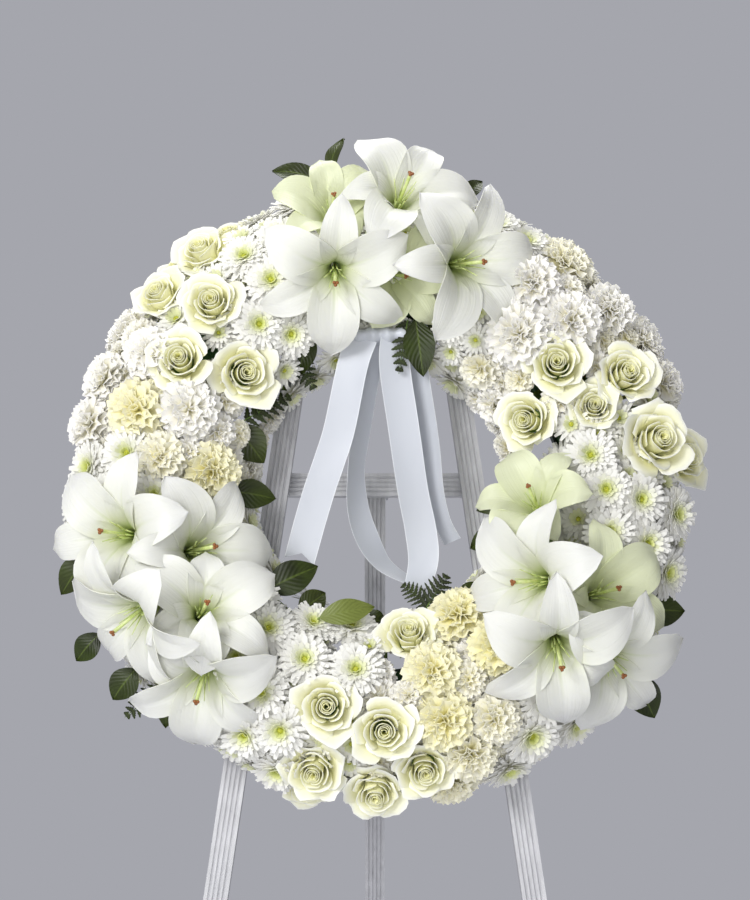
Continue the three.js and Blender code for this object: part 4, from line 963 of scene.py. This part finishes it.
# A smooth line through points, at t from 0 to 1.
def through(points, t):
    at = t * (len(points) - 1)
    i = min(int(at), len(points) - 2)
    f = at - i
    a, b, c, d = (points[max(0, min(len(points) - 1, i + k))] for k in (-1, 0, 1, 2))
    bend, twist = a * 2 - b * 5 + c * 4 - d, b * 3 - a - c * 3 + d
    return b + (c - a) * f * 0.5 + bend * f * f * 0.5 + twist * f ** 3 * 0.5


def tailForm(stations, forward, notch):
    middles = []
    for x, y, turned in stations:
        point = seen(x, y, ribbon["seenAt"])
        middles.append(Vector((point.x, point.y, ribbon["plumb"] + forward + point.y * math.tan(lean))))
    turns = [math.radians(turned) for x, y, turned in stations]

    def form(u, v):
        spot = through(middles, v)
        way = (through(middles, min(1, v + 0.01)) - through(middles, max(0, v - 0.01))).normalized()
        flat = Vector((way.y, -way.x, 0)).normalized()
        side = Matrix.Rotation(through(turns, v), 3, way) @ flat
        spot -= way * notch * (1 - abs(u)) * smooth(0.85, 1, v)
        bow = 1.4 * (1 - u * u) + 0.9 * u * math.sin(9 * v + forward)
        return spot + side * u * ribbon["width"] / 2 + way.cross(side) * bow

    line = [through(middles, i / 60) for i in range(61)]
    return form, sum((b - a).length for a, b in zip(line, line[1:])) / 1000


for name, (stations, forward, notch) in tails.items():
    piece = startMesh()
    form, length = tailForm(stations, forward, notch)
    addPetal(piece, 6, ribbon["rows"], form)
    thicken(piece, ribbon["thickness"])
    tail = finishPiece(piece, name + "_satin", name, [satinFinish])
    print(name, "flat length", round(length, 4))

# The knot is a ball drawn out sideways, with pleats down it, on a pick in the foam.
piece = startMesh()
knotAt = seen(*ribbon["knotAt"])
bmesh.ops.create_uvsphere(piece, u_segments=160, v_segments=48, radius=1)
wide, high, deep = ribbon["knot"]
for vert in piece.verts:
    pleat = 0.92 + 0.1 * math.sin(ribbon["pleats"] * vert.co.x + 0.6 * vert.co.y)
    vert.co = Vector((vert.co.x * wide, vert.co.y * (high * pleat), vert.co.z * (deep * pleat))) + knotAt
addRod(piece, knotAt, onRing(*ribbon["pick"]), 2, 2, 8, 1)
finishPiece(piece, "ribbon_knot_satin", "ribbon_knot", [satinFinish, stemFinish])
print("ribbon made")

# Floor, light and camera. The floor ends before it shows in the photograph's view, as there.
studio = {"floor": 2.6, "distance": 2.6, "front": 100, "fieldOfView": 19.64, "above": 25, "ambient": 0.6,
          "aim": (0, -0.1, 0.9)}
bpy.ops.mesh.primitive_plane_add(size=2 * studio["floor"], location=(0, 0, 0))
floor = bpy.context.object
floor.name = "floor"
paleFloor = {"Base Color": linear("#c9cacf"), "Roughness": 0.7}
floor.data.materials.append(newMaterial("pale floor", paleFloor)[0])

# The backdrop is as bright as the photograph's, and lights the wreath less than it shows.
world = bpy.data.worlds.new("studio")
world.use_nodes = True
backdrop = world.node_tree.nodes["Background"]
backdrop.inputs["Color"].default_value = linear("#a5a6ad")
inView = addNode(world.node_tree, "LightPath")
strength = addNode(world.node_tree, "MapRange", values={"To Min": studio["ambient"], "To Max": 1.0},
                   links={"Value": inView.outputs["Is Camera Ray"]})
world.node_tree.links.new(strength.outputs[0], backdrop.inputs["Strength"])
bpy.context.scene.world = world
bpy.context.scene.view_settings.view_transform = "Standard"

# Each lamp: where it is, its power in watts and its size.
lamps = {"key": ((-1.5, -2.5, 2.2), 62, 1.3), "fill": ((-0.2, -2.9, 0.6), 30, 1.8),
         "top": ((0.2, 0.6, 2.8), 34, 1.2)}
for name, (spot, power, size) in lamps.items():
    light = bpy.data.lights.new(name, "AREA")
    light.energy = power
    light.size = size
    lamp = bpy.data.objects.new(name, light)
    lamp.location = spot
    lamp.rotation_euler = (Vector(studio["aim"]) - Vector(spot)).to_track_quat("-Z", "Y").to_euler()
    bpy.context.scene.collection.objects.link(lamp)

front = plane @ seen(layout["easelOffset"], studio["above"], studio["front"])
camera = bpy.data.objects.new("camera", bpy.data.cameras.new("camera"))
camera.data.sensor_fit = "VERTICAL"
camera.data.angle = math.radians(studio["fieldOfView"])
camera.location = (front.x, front.y - studio["distance"], front.z)
camera.rotation_euler = (math.pi / 2, 0, 0)
bpy.context.scene.collection.objects.link(camera)
bpy.context.scene.camera = camera

bpy.context.view_layer.update()
print("scene ready")
